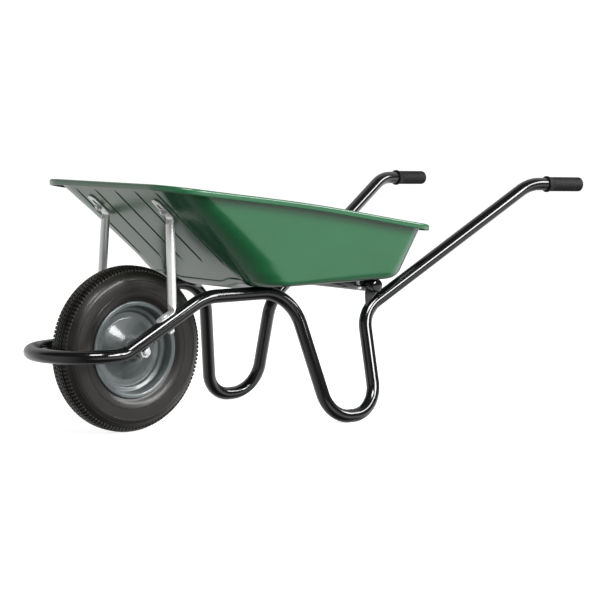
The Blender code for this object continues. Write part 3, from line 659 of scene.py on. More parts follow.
def gusset_shape(sizes, side):
    """A plate from the crossbar down to the knee."""
    rail_z = sizes.rail_front[2]
    low = sizes.knee[2] - sizes.tube_radius - rail_z
    outline = [(-0.0145, -0.002), (-0.0185, -0.018), (-0.0180, low * 0.45), (-0.0125, low - 0.002),
               (0.004, low * 0.98), (0.022, low * 0.72), (0.034, low * 0.50), (0.024, low * 0.30),
               (0.0175, -0.012), (0.0145, -0.002)]
    centre = Vector((sizes.crossbar_x, side * sizes.gusset_half, rail_z))
    return flat_plate(outline, sizes.plate, centre, ALONG, UP)


class BARROW_OT_crossbar(bpy.types.Operator):
    """The rear cross tube with closed ends, its bolt ears and the gussets on the knees"""
    bl_idname = "barrow.crossbar"
    bl_label = "Rear Crossbar"

    def execute(self, context):
        sizes = context.scene.barrow_frame
        rail_z, radius, plate = sizes.rail_front[2], sizes.tube_radius, sizes.plate
        dome = 0.25
        reach = sizes.crossbar_half - radius * dome
        path = [Vector((sizes.crossbar_x, y, rail_z)) for y in (-reach, -0.1, 0.1, reach)]
        piece("rear_crossbar_closed", tube(path, radius, 40, dome), "frame_paint",
              stands_for=("rear_crossbar",))
        for name, side in SIDES.items():
            piece("gusset_plate_" + name, gusset_shape(sizes, side), "frame_paint",
                  stands_for=("gusset_" + name,), soften=0.0009)
            centre = Vector((sizes.crossbar_x - radius, side * sizes.rear_bolt_half, rail_z))
            outline = rounded_rectangle(-0.023, 0.003, -0.013, 0.013, 0.006)
            piece("rear_bolt_ear_" + name, flat_plate(outline, plate, centre, ALONG, ACROSS),
                  "frame_paint", stands_for=("rear_ear_" + name,), soften=0.0007)
            beads = []
            for face in (-1, 1):
                y = side * sizes.gusset_half + face * (plate / 2 + 0.0008)
                arc = [Vector((sizes.crossbar_x + radius * math.cos(a), y, rail_z + radius * math.sin(a)))
                       for a in (math.radians(195 + 10 * i) for i in range(16))]
                beads.append(weld(arc, 0.0019))
            x, z = sizes.crossbar_x - radius - 0.0006, rail_z + 0.0026
            beads.append(weld([Vector((x, side * sizes.rear_bolt_half + half, z))
                               for half in (-0.010, 0.010)], 0.0016))
            piece("crossbar_welds_" + name, joined(*beads), "frame_paint")
        return {"FINISHED"}


class BARROW_OT_front_tabs(bpy.types.Operator):
    """The small plates on the rails that the front of the tray is bolted to"""
    bl_idname = "barrow.front_tabs"
    bl_label = "Front Tabs"

    def execute(self, context):
        sizes = context.scene.barrow_frame
        for name, side in SIDES.items():
            spot = front_bolt_point(sizes, side)
            outline = rounded_rectangle(-0.013, 0.013, -0.0115, 0.0115, 0.005)
            shape = flat_plate(outline, sizes.plate, Vector((spot.x, spot.y, sizes.rail_front[2])),
                               ALONG, ACROSS)
            piece("front_bolt_tab_" + name, shape, "frame_paint", stands_for=("front_tab_" + name,),
                  soften=0.0007)
            y = spot.y + side * BOLT_TO_RAIL
            z = sizes.rail_front[2] + 0.0028
            bead = weld([Vector((spot.x - 0.012, y, z)), Vector((spot.x + 0.012, y + side * 0.001, z))],
                        0.0015)
            piece("front_tab_weld_" + name, bead, "frame_paint")
        return {"FINISHED"}


def bracket_bottom(u):
    """Lower edge of the axle bracket below the axle's middle, along the rising tube."""
    edge = [(-0.036, 0.002), (-0.024, -0.0035), (-0.0084, -0.0098), (-0.004, -0.0124), (0.0, -0.013),
            (0.005, -0.0121), (0.010, -0.0083), (0.0126, -0.0034), (0.018, 0.004)]
    for (a, low), (b, high) in zip(edge, edge[1:]):
        if u <= b:
            return low + (high - low) * (u - a) / (b - a)
    return edge[-1][1]


class BARROW_OT_axle_brackets(bpy.types.Operator):
    """Folded plates under the rising tubes that hold the axle"""
    bl_idname = "barrow.axle_brackets"
    bl_label = "Axle Brackets"

    def execute(self, context):
        sizes = context.scene.barrow_frame
        for name, side in SIDES.items():
            start, _, rise, above = rising_tube(sizes, side)
            along = Vector((rise.x, 0, rise.z)).normalized()
            below_nose = AXLE - Vector((start.x, 0, start.z))
            top = (Vector((start.x, 0, start.z)) - AXLE).dot(above) - sizes.tube_radius
            share = math.hypot(rise.x, rise.z)
            reach = below_nose.dot(along) * abs(rise.y) / share
            reach = sizes.front_bend[1] + reach
            middle = sizes.bracket_inner + sizes.plate / 2
            shelf = top - sizes.plate / 2
            bend, steps = 0.007, 36
            rings = []
            for i in range(steps + 1):
                u = BRACKET_FRONT + BRACKET_LENGTH * i / steps
                low = bracket_bottom(u)
                line = [(reach - (reach - middle - bend) * k / 4, shelf) for k in range(5)]
                line += [(middle + bend - bend * math.sin(a), shelf - bend + bend * math.cos(a))
                         for a in (math.radians(15 * k) for k in range(1, 7))]
                line += [(middle, shelf - bend + (low - shelf + bend) * k / 8) for k in range(1, 9)]
                rings.append([AXLE + along * u + ACROSS * (side * y) + above * n for y, n in line])
            bracket = piece("axle_bracket_folded_" + name, skin(rings, around=False), "frame_paint",
                            stands_for=("axle_bracket_" + name,), outward=False)
            wall = bracket.modifiers.new("plate", "SOLIDIFY")
            wall.thickness, wall.offset = sizes.plate, 0
            edge = bracket.modifiers.new("edges", "BEVEL")
            edge.width, edge.segments, edge.angle_limit = 0.0008, 2, math.radians(50)
            beads = []
            for out in (-0.0075, 0.0075):
                points = []
                for u in (BRACKET_FRONT + 0.002, BRACKET_FRONT + BRACKET_LENGTH - 0.002):
                    y = sizes.front_bend[1] + (below_nose.dot(along) + u) * abs(rise.y) / share
                    points.append(AXLE + along * u + ACROSS * (side * (y + out)) + above * (top + 0.0014))
                beads.append(weld(points, 0.0020))
            piece("axle_bracket_welds_" + name, joined(*beads), "frame_paint")
        return {"FINISHED"}


# ---------------------------------------------------------------- tray

FRONT_REACH = 0.190             # half width of the part of the tray's front that has even columns
FRONT_COLUMNS = 60              # columns across that part, before the ribs add theirs
CORNER_STEPS = 12               # steps round a rear corner
SIDE_STEPS = 36                 # steps along a side
ARC_STEPS = 16                  # steps round a front corner
REAR_STEPS = 40                 # steps along the rear wall
RIBS = (-2, -1, 0, 1, 2)        # places of the slope's ribs, in rib steps from the middle
REAR_CORNER = 0.065             # radius of the rear corners at the floor
REAR_CORNER_CLOSES = 0.015      # how much smaller they are at the rim
PAN_REACH = (0.070, 0.1415)     # half width of the sunk pan, and where it has come up to the rails
PAN_REAR = (0.045, 0.085)       # where the pan ends towards the handles, likewise
RIB_ENDS = (0.235, 0.285, 0.885, 0.925)     # shares of the slope where the ribs start and end
CREASE_DEPTH = 0.0032
CREASE_HALF = 0.0034            # half the width of the crease
CREASE_ABOVE = 0.0050           # from the floor's bend up the slope to the crease
CREASE_REACH = (0.155, 0.182)   # where the crease fades out towards the corners
FLOOR_CURVE = 0.025             # run of the curve from the floor into the walls
LIP_START = 0.985               # share of the wall's height where it starts to turn into the flange
LIP_ROLL = 0.0045               # radius of the flange's outer edge
LIP_CURL = 0.0016               # radius of the small curl at the bottom of the lip


def front_columns(sizes):
    """Distances from the middle plane, closer together at the ribs."""
    places = {round(-FRONT_REACH + 2 * FRONT_REACH * i / FRONT_COLUMNS, 5)
              for i in range(FRONT_COLUMNS + 1)}
    for rib in RIBS:
        centre = rib * sizes.rib_step
        places = {y for y in places if abs(y - centre) > sizes.rib_half * 1.5}
        places |= {round(centre + sizes.rib_half * k / 4, 5) for k in range(-6, 7)}
    return sorted((y for y in places if abs(y) <= FRONT_REACH), reverse=True)


def plan_outline(front, rear, half, front_radius, rear_radius, columns):
    """A round-cornered outline in plan, anticlockwise from the right rear corner."""
    points = []
    for i in range(CORNER_STEPS + 1):
        angle = math.radians(90 * i / CORNER_STEPS)
        points.append((rear - rear_radius * (1 - math.cos(angle)),
                       half - rear_radius * (1 - math.sin(angle))))
    side_start, side_end = rear - rear_radius, front + front_radius
    for i in range(1, SIDE_STEPS):
        points.append((side_start + (side_end - side_start) * i / SIDE_STEPS, half))
    flat = half - front_radius
    first = math.asin(min(1.0, max(0.0, (FRONT_REACH - flat) / front_radius)))
    arc = []
    for i in range(ARC_STEPS):
        angle = math.pi / 2 + (first - math.pi / 2) * i / ARC_STEPS
        arc.append((front + front_radius * (1 - math.cos(angle)), flat + front_radius * math.sin(angle)))
    points += arc
    for y in columns:
        beyond = min(max(0.0, abs(y) - flat), front_radius)
        points.append((front + front_radius - math.sqrt(front_radius ** 2 - beyond ** 2), y))
    points += [(x, -y) for x, y in reversed(arc)]
    for i in range(1, SIDE_STEPS):
        points.append((side_end + (side_start - side_end) * i / SIDE_STEPS, -half))
    for i in range(CORNER_STEPS + 1):
        angle = math.radians(90 * (CORNER_STEPS - i) / CORNER_STEPS)
        points.append((rear - rear_radius * (1 - math.cos(angle)),
                       -half + rear_radius * (1 - math.sin(angle))))
    span = half - rear_radius
    points += [(rear, -span + 2 * span * i / REAR_STEPS) for i in range(1, REAR_STEPS)]
    return points


def corner_radius(share):
    """Radius of the front corners at a share of the walls' height: widest a quarter of the way up."""
    stops = ((-0.2, 0.070), (0.0, 0.074), (0.10, 0.083), (0.26, 0.094), (0.45, 0.093), (0.66, 0.090),
             (0.85, 0.084), (1.0, 0.078))
    for (a, low), (b, high) in zip(stops, stops[1:]):
        if share <= b:
            return low + (high - low) * smooth_step(a, b, share)
    return stops[-1][1]


class TrayShape:
    """Rings of points over the outside of the tray, from the middle of the floor to the lip."""

    def __init__(self, sizes):
        self.sizes = sizes
        self.columns = front_columns(sizes)
        self.rim = self.outline_at(1.0)
        self.floor = self.outline_at(0.0)
        self.front = {i for i, (x, y) in enumerate(self.rim)
                      if x < sizes.rim_front + 0.02 and abs(y) <= FRONT_REACH + 1e-6}
        self.pitch = sizes.rim_rise / (sizes.floor_front - sizes.rim_front)
        self.slope_length = math.hypot(sizes.rim_rise, sizes.floor_front - sizes.rim_front)

    def outline_at(self, share, grow=0.0):
        s = self.sizes
        return plan_outline(s.floor_front + (s.rim_front - s.floor_front) * share - grow,
                            s.floor_rear + (s.rim_rear - s.floor_rear) * share + grow,
                            s.floor_half + (s.rim_half - s.floor_half) * share + grow,
                            corner_radius(share) + grow,
                            REAR_CORNER - REAR_CORNER_CLOSES * share + grow, self.columns)

    def rim_z(self, x):
        s = self.sizes
        along = min(1.0, max(0.0, (x - s.rim_front) / (s.rim_rear - s.rim_front)))
        crown = s.rim_crown * math.sin(math.pi * along) ** 2
        return s.floor_z + s.rim_rise - s.rim_fall * (x - s.rim_front) + crown

    def dip(self, x, y):
        """How far the floor pan lies below the rails at a place."""
        s = self.sizes
        return s.pan_drop * (1 - smooth_step(*PAN_REACH, abs(y))) * (1 - smooth_step(*PAN_REAR, x))

    def wall(self, shares):
        """A ring round the walls, at a share of the height for each column."""
        ring, cache = [], {}
        for i, share in enumerate(shares):
            key = round(share, 6)
            if key not in cache:
                cache[key] = self.outline_at(share)
            x, y = cache[key][i]
            z = self.sizes.floor_z + share * (self.rim_z(self.rim[i][0]) - self.sizes.floor_z)
            ring.append(Vector((x, y, z)))
        return ring

    def pressed(self, ring, shares, low):
        """Press the ribs and the crease into the slope."""
        s = self.sizes
        inward = Vector((self.pitch, 0, 1)).normalized()
        for i in self.front:
            point, share = ring[i], shares[i]
            depth = 0.0
            ends = smooth_step(*RIB_ENDS[:2], share) * (1 - smooth_step(*RIB_ENDS[2:], share))
            if ends > 0:
                nearest = min(abs(point.y - rib * s.rib_step) for rib in RIBS)
                depth = s.rib_depth * ends * (1 - smooth_step(0.1, 1.0, nearest / s.rib_half))
            above = (share - low[i]) * self.slope_length
            groove = 1 - smooth_step(0.0, CREASE_HALF, abs(above - CREASE_ABOVE))
            fade = 1 - smooth_step(*CREASE_REACH, abs(point.y))
            ring[i] = point + inward * (depth + CREASE_DEPTH * groove * fade)
        return ring

    def rings(self):
        """All rings: the floor, its curve into the walls, the walls with their ribs, and the lip."""
        s, run = self.sizes, FLOOR_CURVE
        count = len(self.rim)
        heights = [math.dist((*self.floor[i], 0), (*self.rim[i], self.rim_z(self.rim[i][0]) - s.floor_z))
                   for i in range(count)]
        drop = [self.dip(self.floor[i][0], self.floor[i][1]) if i in self.front else 0.0
                for i in range(count)]
        corner = [Vector((x + d / self.pitch, y, s.floor_z - d)) for (x, y), d in zip(self.floor, drop)]
        inset_plan = plan_outline(s.floor_front + run, s.floor_rear - run, s.floor_half - run,
                                  corner_radius(0) - run, REAR_CORNER - run, self.columns)
        inset = [Vector((x + d / self.pitch, y, s.floor_z - d)) for (x, y), d in zip(inset_plan, drop)]
        low = [run / heights[i] - drop[i] / s.rim_rise for i in range(count)]
        start = self.wall(low)
        result = self.floor_rings(inset)
        for k in range(1, 11):
            t = k / 11
            result.append(curve_between(inset, corner, start, t))
        steps = [0, 0.003, 0.005, 0.008, 0.011, 0.0137, 0.0165, 0.019, 0.023, 0.03, 0.045]
        steps += [0.07 + 0.905 * k / 34 for k in range(34)] + [0.975]
        for step in steps:
            shares = [first + (LIP_START - first) * step / steps[-1] for first in low]
            result.append(self.pressed(self.wall(shares), shares, low))
        result += self.lip_rings(result[-1])
        return result

    def floor_rings(self, inset):
        """From the middle of the floor out to where it starts to curve up."""
        spine = [Vector((min(0.03, max(-0.13, point.x)), 0, 0)) for point in inset]
        result = []
        for k in range(26, 0, -1):
            t = k / 26.5
            ring = []
            for point, middle in zip(inset, spine):
                x, y = point.x + (middle.x - point.x) * t, point.y + (middle.y - point.y) * t
                ring.append(Vector((x, y, self.sizes.floor_z - self.dip(x, y))))
            result.append(ring)
        return result + [inset]

    def edge_ring(self, grow, drop):
        """The rim's outline, grown outwards and dropped."""
        return [Vector((x, y, self.rim_z(x) - drop)) for x, y in self.outline_at(1.0, grow)]

    def lip_rings(self, last):
        """Round the top of the walls into the flange, over its edge and into a small curl."""
        s = self.sizes
        edge, out = self.edge_ring(0, 0), self.edge_ring(0.0055, 0)
        result = []
        for t in (0.2, 0.4, 0.6, 0.8, 1.0):
            result.append(curve_between(last, edge, out, t))
        for k in range(9):
            angle = math.radians(90 * k / 8)
            result.append(self.edge_ring(s.lip_width - LIP_ROLL + LIP_ROLL * math.sin(angle),
                                         LIP_ROLL * (1 - math.cos(angle))))
        for k in range(1, 8):
            angle = math.radians(150 * k / 7)
            result.append(self.edge_ring(s.lip_width - LIP_CURL + LIP_CURL * math.cos(angle),
                                         s.lip_depth - LIP_CURL + LIP_CURL * math.sin(angle)))
        return result


class BARROW_OT_tray(bpy.types.Operator):
    """The pressed tray with its ribs, crease, sunk floor and rolled lip"""
    bl_idname = "barrow.tray"
    bl_label = "Tray"

    def execute(self, context):
        sizes = context.scene.barrow_tray
        rings = TrayShape(sizes).rings()
        vertices, faces = skin(rings)
        faces.append(tuple(range(len(rings[0])))[::-1])
        tray = piece("tray_pressed", (vertices, faces), "tray_paint", stands_for=("tray",), sharp=60,
                     outward=False)
        wall = tray.modifiers.new("sheet", "SOLIDIFY")
        wall.thickness, wall.offset, wall.use_even_offset = sizes.sheet, -1, False
        return {"FINISHED"}


# ---------------------------------------------------------------- struts and fasteners

STRUT_HALF = 0.0018             # half the thickness of a strut's pressed ends
STRUT_WIDE = 0.0135             # half their width
STRUT_ROUND = 0.0132            # length over which an end is rounded off
STRUT_FOOT = 0.045              # from the lower bend to the end of the strut
STRUT_TAB = 0.062               # from the upper bend to the end of the strut
STRUT_BLEND = 0.014             # length from pressed flat to round
STRUT_BOLT = 0.024              # from each bend to its bolt


def slope_frame(tray):
    """Direction down the slope and the direction out of its underside."""
    down = Vector((tray.floor_front - tray.rim_front, 0, -tray.rim_rise)).normalized()
    return down, Vector((down.z, 0, -down.x))


def strut_places(context, side):
    """Upper bend and bolt on the slope; lower bend and bolt on the rising tube."""
    scene = context.scene
    tray, parts, sizes = scene.barrow_tray, scene.barrow_fasteners, scene.barrow_frame
    down, out = slope_frame(tray)
    x, y, _ = parts.strut_top
    z = tray.floor_z + (tray.floor_front - x) * tray.rim_rise / (tray.floor_front - tray.rim_front)
    top = Vector((x, side * y, z))
    start, end, along, above = rising_tube(sizes, side)
    foot = start.lerp(end, (x - start.x) / (end.x - start.x))
    return {"top": top, "top_bolt": top - down * STRUT_BOLT, "down": down, "out": out, "foot": foot,
            "foot_bolt": foot - along * STRUT_BOLT, "along": along, "above": above}


def strut_section(centre, wide, thick, half_width, half_thickness):
    """A ring that is a circle where both halves are equal and a flat oval where the strut is pressed."""
    flat = smooth_step(1.0, 2.2, half_width / half_thickness)
    power = 1.0 - 0.62 * flat
    ring = []
    for c, s in circle(36):
        across = math.copysign(abs(c) ** power, c) * half_width
        ring.append(centre + wide * across + thick * (math.copysign(abs(s) ** power, s) * half_thickness))
    return ring


def strut_shape(spot, sizes, parts):
    """A round tube whose ends are pressed flat, bent and rounded off."""
    top = spot["top"] + spot["out"] * (STRUT_HALF + GAP)
    low = spot["foot"] + spot["above"] * (sizes.tube_radius + GAP + STRUT_HALF)
    foot_end, tab_end = low - spot["along"] * STRUT_FOOT, top - spot["down"] * STRUT_TAB
    path = fillet([foot_end, low, top, tab_end], [0.011, 0.012], math.radians(6))
    dense = []
    for a, b in zip(path, path[1:]):
        count = max(1, math.ceil((b - a).length / 0.003))
        dense += [a.lerp(b, i / count) for i in range(count)]
    dense.append(path[-1])
    lengths = [0.0]
    for a, b in zip(dense, dense[1:]):
        lengths.append(lengths[-1] + (b - a).length)
    total = lengths[-1]
    foot_flat, top_flat = STRUT_FOOT + 0.002, total - (STRUT_TAB + 0.002)
    rings = []
    for point, length_so_far, (_, side, lift) in zip(dense, lengths, frames_along(dense, ACROSS)):
        squash = 1 - smooth_step(foot_flat, foot_flat + STRUT_BLEND, length_so_far)
        squash = max(squash, smooth_step(top_flat - STRUT_BLEND, top_flat, length_so_far))
        width = parts.strut_radius + (STRUT_WIDE - parts.strut_radius) * squash
        thick = parts.strut_radius + (STRUT_HALF - parts.strut_radius) * squash
        ends = min(length_so_far, total - length_so_far)
        if ends < STRUT_ROUND:
            width = max(0.004, STRUT_WIDE * math.sqrt(max(0.0, 1 - (1 - ends / STRUT_ROUND) ** 2)))
        rings.append(strut_section(point, side, lift, width, thick))
    return skin(rings, caps=True)


def cut(obj, shape, name):
    """Cut a shape out of a piece and apply it."""
    mesh = bpy.data.meshes.new(name)
    mesh.from_pydata([tuple(v) for v in shape[0]], [], shape[1])
    tool = bpy.data.objects.new(name, mesh)
    bpy.context.scene.collection.objects.link(tool)
    change = obj.modifiers.new("cut", "BOOLEAN")
    change.object, change.operation, change.solver = tool, "DIFFERENCE", "EXACT"
    bpy.context.view_layer.update()
    made = bpy.data.meshes.new_from_object(obj.evaluated_get(bpy.context.evaluated_depsgraph_get()))
    obj.modifiers.remove(change)
    obj.data = made
    made.set_sharp_from_angle(angle=math.radians(40))
    bpy.data.objects.remove(tool, do_unlink=True)


class BARROW_OT_struts(bpy.types.Operator):
    """Zinc struts between the slope and the rising tubes"""
    bl_idname = "barrow.struts"
    bl_label = "Struts"

    def execute(self, context):
        scene = context.scene
        for name, side in SIDES.items():
            spot = strut_places(context, side)
            shape = strut_shape(spot, scene.barrow_frame, scene.barrow_fasteners)
            strut = piece("strut_tube_" + name, shape, "zinc", stands_for=("strut_" + name,), sharp=50)
            slot = rounded_rectangle(-0.0046, 0.0046, -0.0046, 0.0234, 0.00455)
            cut(strut, flat_plate(slot, 0.02, spot["top_bolt"], ACROSS, -spot["down"]), "slot_" + name)
        return {"FINISHED"}


def hex_nut(radius, height, bore, seat, direction):
    """A nut with chamfered corners that stands on its seat."""
    cut_radius = radius * 1.02
    slope = math.tan(math.radians(30))
    rings = []
    across, third = arms_round(direction)
    for c, s in circle(48):
        turn = math.atan2(s, c) % (math.pi / 3) - math.pi / 6
        reach = radius / math.cos(turn)
        chamfer = max(0.0, reach - cut_radius) * slope
        inner = min(reach, cut_radius)
        line = [(bore, 0.0006), (bore + 0.0006, 0), (inner, 0), (reach, chamfer), (reach, height - chamfer),
                (inner, height), (bore + 0.0006, height), (bore, height - 0.0006)]
        arm = across * c + third * s
        rings.append([seat + arm * a + direction * b for a, b in line])
    return skin(rings, around=True, along=True)


def screw_shank(radius, pitch, start, direction, plain, threaded):
    """A shank that starts plain and ends in a thread, with a chamfered tip."""
    across, third = arms_round(direction)
    depth = pitch * 0.55
    levels = [0.0, plain]
    levels += [plain + pitch / 6 * k for k in range(1, max(2, round(threaded * 6 / pitch)))]
    end = levels[-1]
    rings = []
    for level in levels:
        ring = []
        for i, (c, s) in enumerate(circle(24)):
            cut_depth = 0.0
            if level > plain:
                phase = ((level - plain) / pitch + i / 24) % 1.0
                cut_depth = depth * abs(2 * phase - 1) * smooth_step(0, pitch, level - plain)
            reach = radius - cut_depth - 0.5 * radius * smooth_step(end - 0.0012, end + 0.0012, level)
            ring.append(start + (across * c + third * s) * reach + direction * level)
        rings.append(ring)
    return skin(rings, caps=True)


def domed_head(radius, height, seat, direction):
    """A mushroom head whose flat face lies on its seat."""
    line = [(CENTRE_RADIUS, height)]
    line += [(radius * math.sin(a), height * math.cos(a))
             for a in (math.radians(9 * k) for k in range(1, 10))]
    line += [(radius, height * 0.08), (radius - 0.0004, 0), (CENTRE_RADIUS, 0)]
    return lathed(line, 40, seat, direction, closed=False)


def washer(radius, bore, thickness, seat, direction):
    """A flat ring with broken outer edges."""
    edge = 0.0003
    line = [(bore, 0), (radius - edge, 0), (radius, edge), (radius, thickness - edge),
            (radius - edge, thickness), (bore, thickness)]
    return lathed(line, 48, seat, direction)


def fastening(context, name, head_seat, direction, grip, washers=True):
    """A domed bolt whose head stands on a point, and a nut on the far side of the grip."""
    parts = context.scene.barrow_fasteners
    thick = 0.0012
    end = grip + parts.nut_height + 0.0029
    head = domed_head(parts.head_radius, 0.0045, head_seat - direction * GAP, -direction)
    plain = max(0.001, grip - 0.004)
    shank = screw_shank(parts.bolt_radius, parts.thread_pitch, head_seat - direction * GAP, direction,
                        plain, end - plain)
    piece(name + "_bolt_threaded", joined(head, shank), "zinc", stands_for=(name + "_bolt",), sharp=40)
    seat = head_seat + direction * (grip + GAP)
    shapes = [hex_nut(parts.nut_half, parts.nut_height - (thick if washers else 0), parts.bolt_radius,
                      seat + direction * (thick if washers else 0), direction)]
    if washers:
        shapes.append(washer(parts.nut_half * 1.22, parts.bolt_radius, thick, seat, direction))
    piece(name + "_nut_chamfered", joined(*shapes), "zinc", stands_for=(name + "_nut",), sharp=25)


def front_bolt_point(sizes, side):
    """Axis of a front tray bolt, beside the rail."""
    share = (sizes.front_bolt_x - 0.013 - sizes.rail_front[0]) / (sizes.rail_rear[0] - sizes.rail_front[0])
    inner = sizes.rail_front[1] + (sizes.rail_rear[1] - sizes.rail_front[1]) * share - sizes.tube_radius
    return Vector((sizes.front_bolt_x, side * (inner - BOLT_TO_RAIL), 0))


class BARROW_OT_fasteners(bpy.types.Operator):
    """Bolts and nuts of the tray and the struts"""
    bl_idname = "barrow.fasteners"
    bl_label = "Fasteners"

    def execute(self, context):
        scene = context.scene
        sizes, tray = scene.barrow_frame, scene.barrow_tray
        rail_z, sheet, plate = sizes.rail_front[2], tray.sheet, sizes.plate
        top = tray.floor_z + sheet
        for name, side in SIDES.items():
            places = {"front_tray_": front_bolt_point(sizes, side),
                      "rear_tray_": Vector((sizes.crossbar_x - sizes.tube_radius - BOLT_TO_RAIL,
                                            side * sizes.rear_bolt_half, 0))}
            for label, spot in places.items():
                seat = Vector((spot.x, spot.y, top))
                fastening(context, label + name, seat, -UP, top - rail_z + plate / 2, washers=False)
            spot = strut_places(context, side)
            fastening(context, "strut_top_" + name, spot["top_bolt"] - spot["out"] * sheet, spot["out"],
                      sheet + GAP + 2 * STRUT_HALF)
            foot_seat = spot["foot_bolt"] + spot["above"] * (sizes.tube_radius + GAP + 2 * STRUT_HALF)
            fastening(context, "strut_foot_" + name, foot_seat, -spot["above"],
                      2 * sizes.tube_radius + GAP + 2 * STRUT_HALF)
        return {"FINISHED"}


# ---------------------------------------------------------------- wheel

AXLE_BORE = 0.0083              # bore of the axle's spacers and washers
AXLE_PLAIN = 0.058              # from the axle's middle to where its thread starts
AXLE_WASHER = 0.002             # thickness of the axle's washers
SPACER_RADIUS = 0.012
SPACER_CHAMFER = 0.0004
DISC_SHEET = 0.0018             # thickness of the pressed wheel discs
HUB_WALL = 0.0057               # thickness of the hub tube
HUB_CHAMFER = 0.0008


class BARROW_OT_axle(bpy.types.Operator):
    """The fixed axle with its spacers, washers and nuts"""
    bl_idname = "barrow.axle"
    bl_label = "Axle"

    def execute(self, context):
        scene = context.scene
        wheel, sizes, parts = scene.barrow_wheel, scene.barrow_frame, scene.barrow_fasteners
        outer = sizes.bracket_inner + sizes.plate + GAP
        shapes = [screw_shank(wheel.axle_radius, parts.thread_pitch * 1.2, AXLE, ACROSS * side, AXLE_PLAIN,
                              wheel.axle_end - AXLE_PLAIN) for side in (-1, 1)]
        piece("axle_threaded", joined(*shapes), "zinc", stands_for=("axle",), sharp=40)
        edge = SPACER_CHAMFER
        low, high = wheel.hub_half + edge, sizes.bracket_inner - edge
        for name, side in SIDES.items():
            direction = ACROSS * side
            line = [(AXLE_BORE, low), (SPACER_RADIUS - edge, low), (SPACER_RADIUS, low + edge),
                    (SPACER_RADIUS, high - edge), (SPACER_RADIUS - edge, high), (AXLE_BORE, high)]
            piece("axle_spacer_" + name, lathed(line, 48, AXLE, direction), "zinc",
                  stands_for=("spacer_" + name,))
            shape = washer(0.0145, AXLE_BORE, AXLE_WASHER, AXLE + direction * outer, direction)
            piece("axle_washer_flat_" + name, shape, "zinc", stands_for=("axle_washer_" + name,))
            seat = AXLE + direction * (outer + AXLE_WASHER + GAP)
            piece("axle_nut_chamfered_" + name, hex_nut(0.0130, 0.010, 0.0082, seat, direction), "zinc",
                  stands_for=("axle_nut_" + name,), sharp=25)
        return {"FINISHED"}


def disc_line(wheel):
    """Middle line of a wheel disc, from its flange down to its neck on the hub tube."""
    line = [(wheel.flange_radius - 0.0006, 0.0320), (wheel.flange_radius, 0.0343), (0.1105, 0.0352),
            (0.1035, 0.0338), (0.1015, 0.0240), (0.1010, 0.0100), (0.0905, 0.0078), (0.0872, 0.0016),
            (0.0720, 0.0014), (0.0560, 0.0130), (0.0350, 0.0270), (0.0262, 0.0298), (0.0232, 0.0345)]
    return rounded_profile(line, [0.0012, 0.0010, 0.0030, 0.012, 0.0045, 0.0040, 0.0040, 0.0120, 0.040,
                                  0.030, 0.0030])


class BARROW_OT_rims(bpy.types.Operator):
    """The two pressed discs, the hub tube and its bearings"""
    bl_idname = "barrow.rims"
    bl_label = "Rims and Hub"

    def execute(self, context):
        wheel = context.scene.barrow_wheel
        for name, side in SIDES.items():
            disc = lathed(thickened(disc_line(wheel), DISC_SHEET), 120, AXLE, ACROSS * side)
            piece("rim_disc_" + name, disc, "rim_paint", "wheel", ("rim_" + name,), sharp=38)
            seal = [(0.0085, wheel.hub_half - 0.0005), (0.0150, wheel.hub_half - 0.0012),
                    (0.0160, wheel.hub_half - 0.0003), (0.0162, wheel.hub_half - 0.0120),
                    (0.0085, wheel.hub_half - 0.0120)]
            piece("bearing_sealed_" + name, lathed(seal, 64, AXLE, ACROSS * side), "bearing_steel", "wheel",
                  ("bearing_" + name,))
        radius, half = wheel.hub_radius, wheel.hub_half
        edge, bore = HUB_CHAMFER, radius - HUB_WALL
        line = [(radius, edge - half), (radius, half - edge), (radius - edge, half), (bore + edge, half),
                (bore, half - edge), (bore, edge - half), (bore + edge, -half), (radius - edge, -half)]
        shapes = [lathed(line, 64)]
        for side in (-1, 1):
            ring = [AXLE + ACROSS * (side * 0.0352) + Vector((c * radius, 0, s * radius))
                    for c, s in circle(64)]
            shapes.append(weld(ring + [ring[0]], 0.0014, 0.0030))
        piece("hub_tube_welded", joined(*shapes), "rim_paint", "wheel", ("hub_tube",))
        return {"FINISHED"}


def tyre_section():
    """Half of the tyre's outer section, from the crown to the bead, and the distance to each point."""
    corners = [(0.1948, 0.0), (0.1947, 0.0100), (0.1920, 0.0200), (0.1860, 0.0290), (0.1765, 0.0362),
               (0.1650, 0.0402), (0.1510, 0.0415), (0.1370, 0.0405), (0.1250, 0.0374), (0.1165, 0.0330),
               (0.1090, 0.0312), (0.1036, 0.0305)]
    corners = [(0.1947, -0.0100)] + corners + [(0.0990, 0.0300)]
    points, steps = [], 12
    for i in range(1, len(corners) - 2):
        before, a, b, after = corners[i - 1:i + 3]
        for k in range(steps):
            t = k / steps
            points.append(tuple(0.5 * (2 * p1 + (p2 - p0) * t + (2 * p0 - 5 * p1 + 4 * p2 - p3) * t * t
                                       + (3 * p1 - p0 - 3 * p2 + p3) * t ** 3)
                                for p0, p1, p2, p3 in zip(before, a, b, after)))
    points.append(corners[-2])
    lengths = [0.0]
    for a, b in zip(points, points[1:]):
        lengths.append(lengths[-1] + math.dist(a, b))
    return points, lengths


def on_section(points, lengths, distance):
    """Point and outward normal at a distance round the section."""
    distance = min(max(distance, 0.0), lengths[-1])
    k = next((i for i in range(1, len(lengths)) if lengths[i] >= distance), len(lengths) - 1)
    (ra, ya), (rb, yb) = points[k - 1], points[k]
    t = (distance - lengths[k - 1]) / max(1e-9, lengths[k] - lengths[k - 1])
    size = math.hypot(rb - ra, yb - ya)
    return (ra + (rb - ra) * t, ya + (yb - ya) * t), ((yb - ya) / size, -(rb - ra) / size)


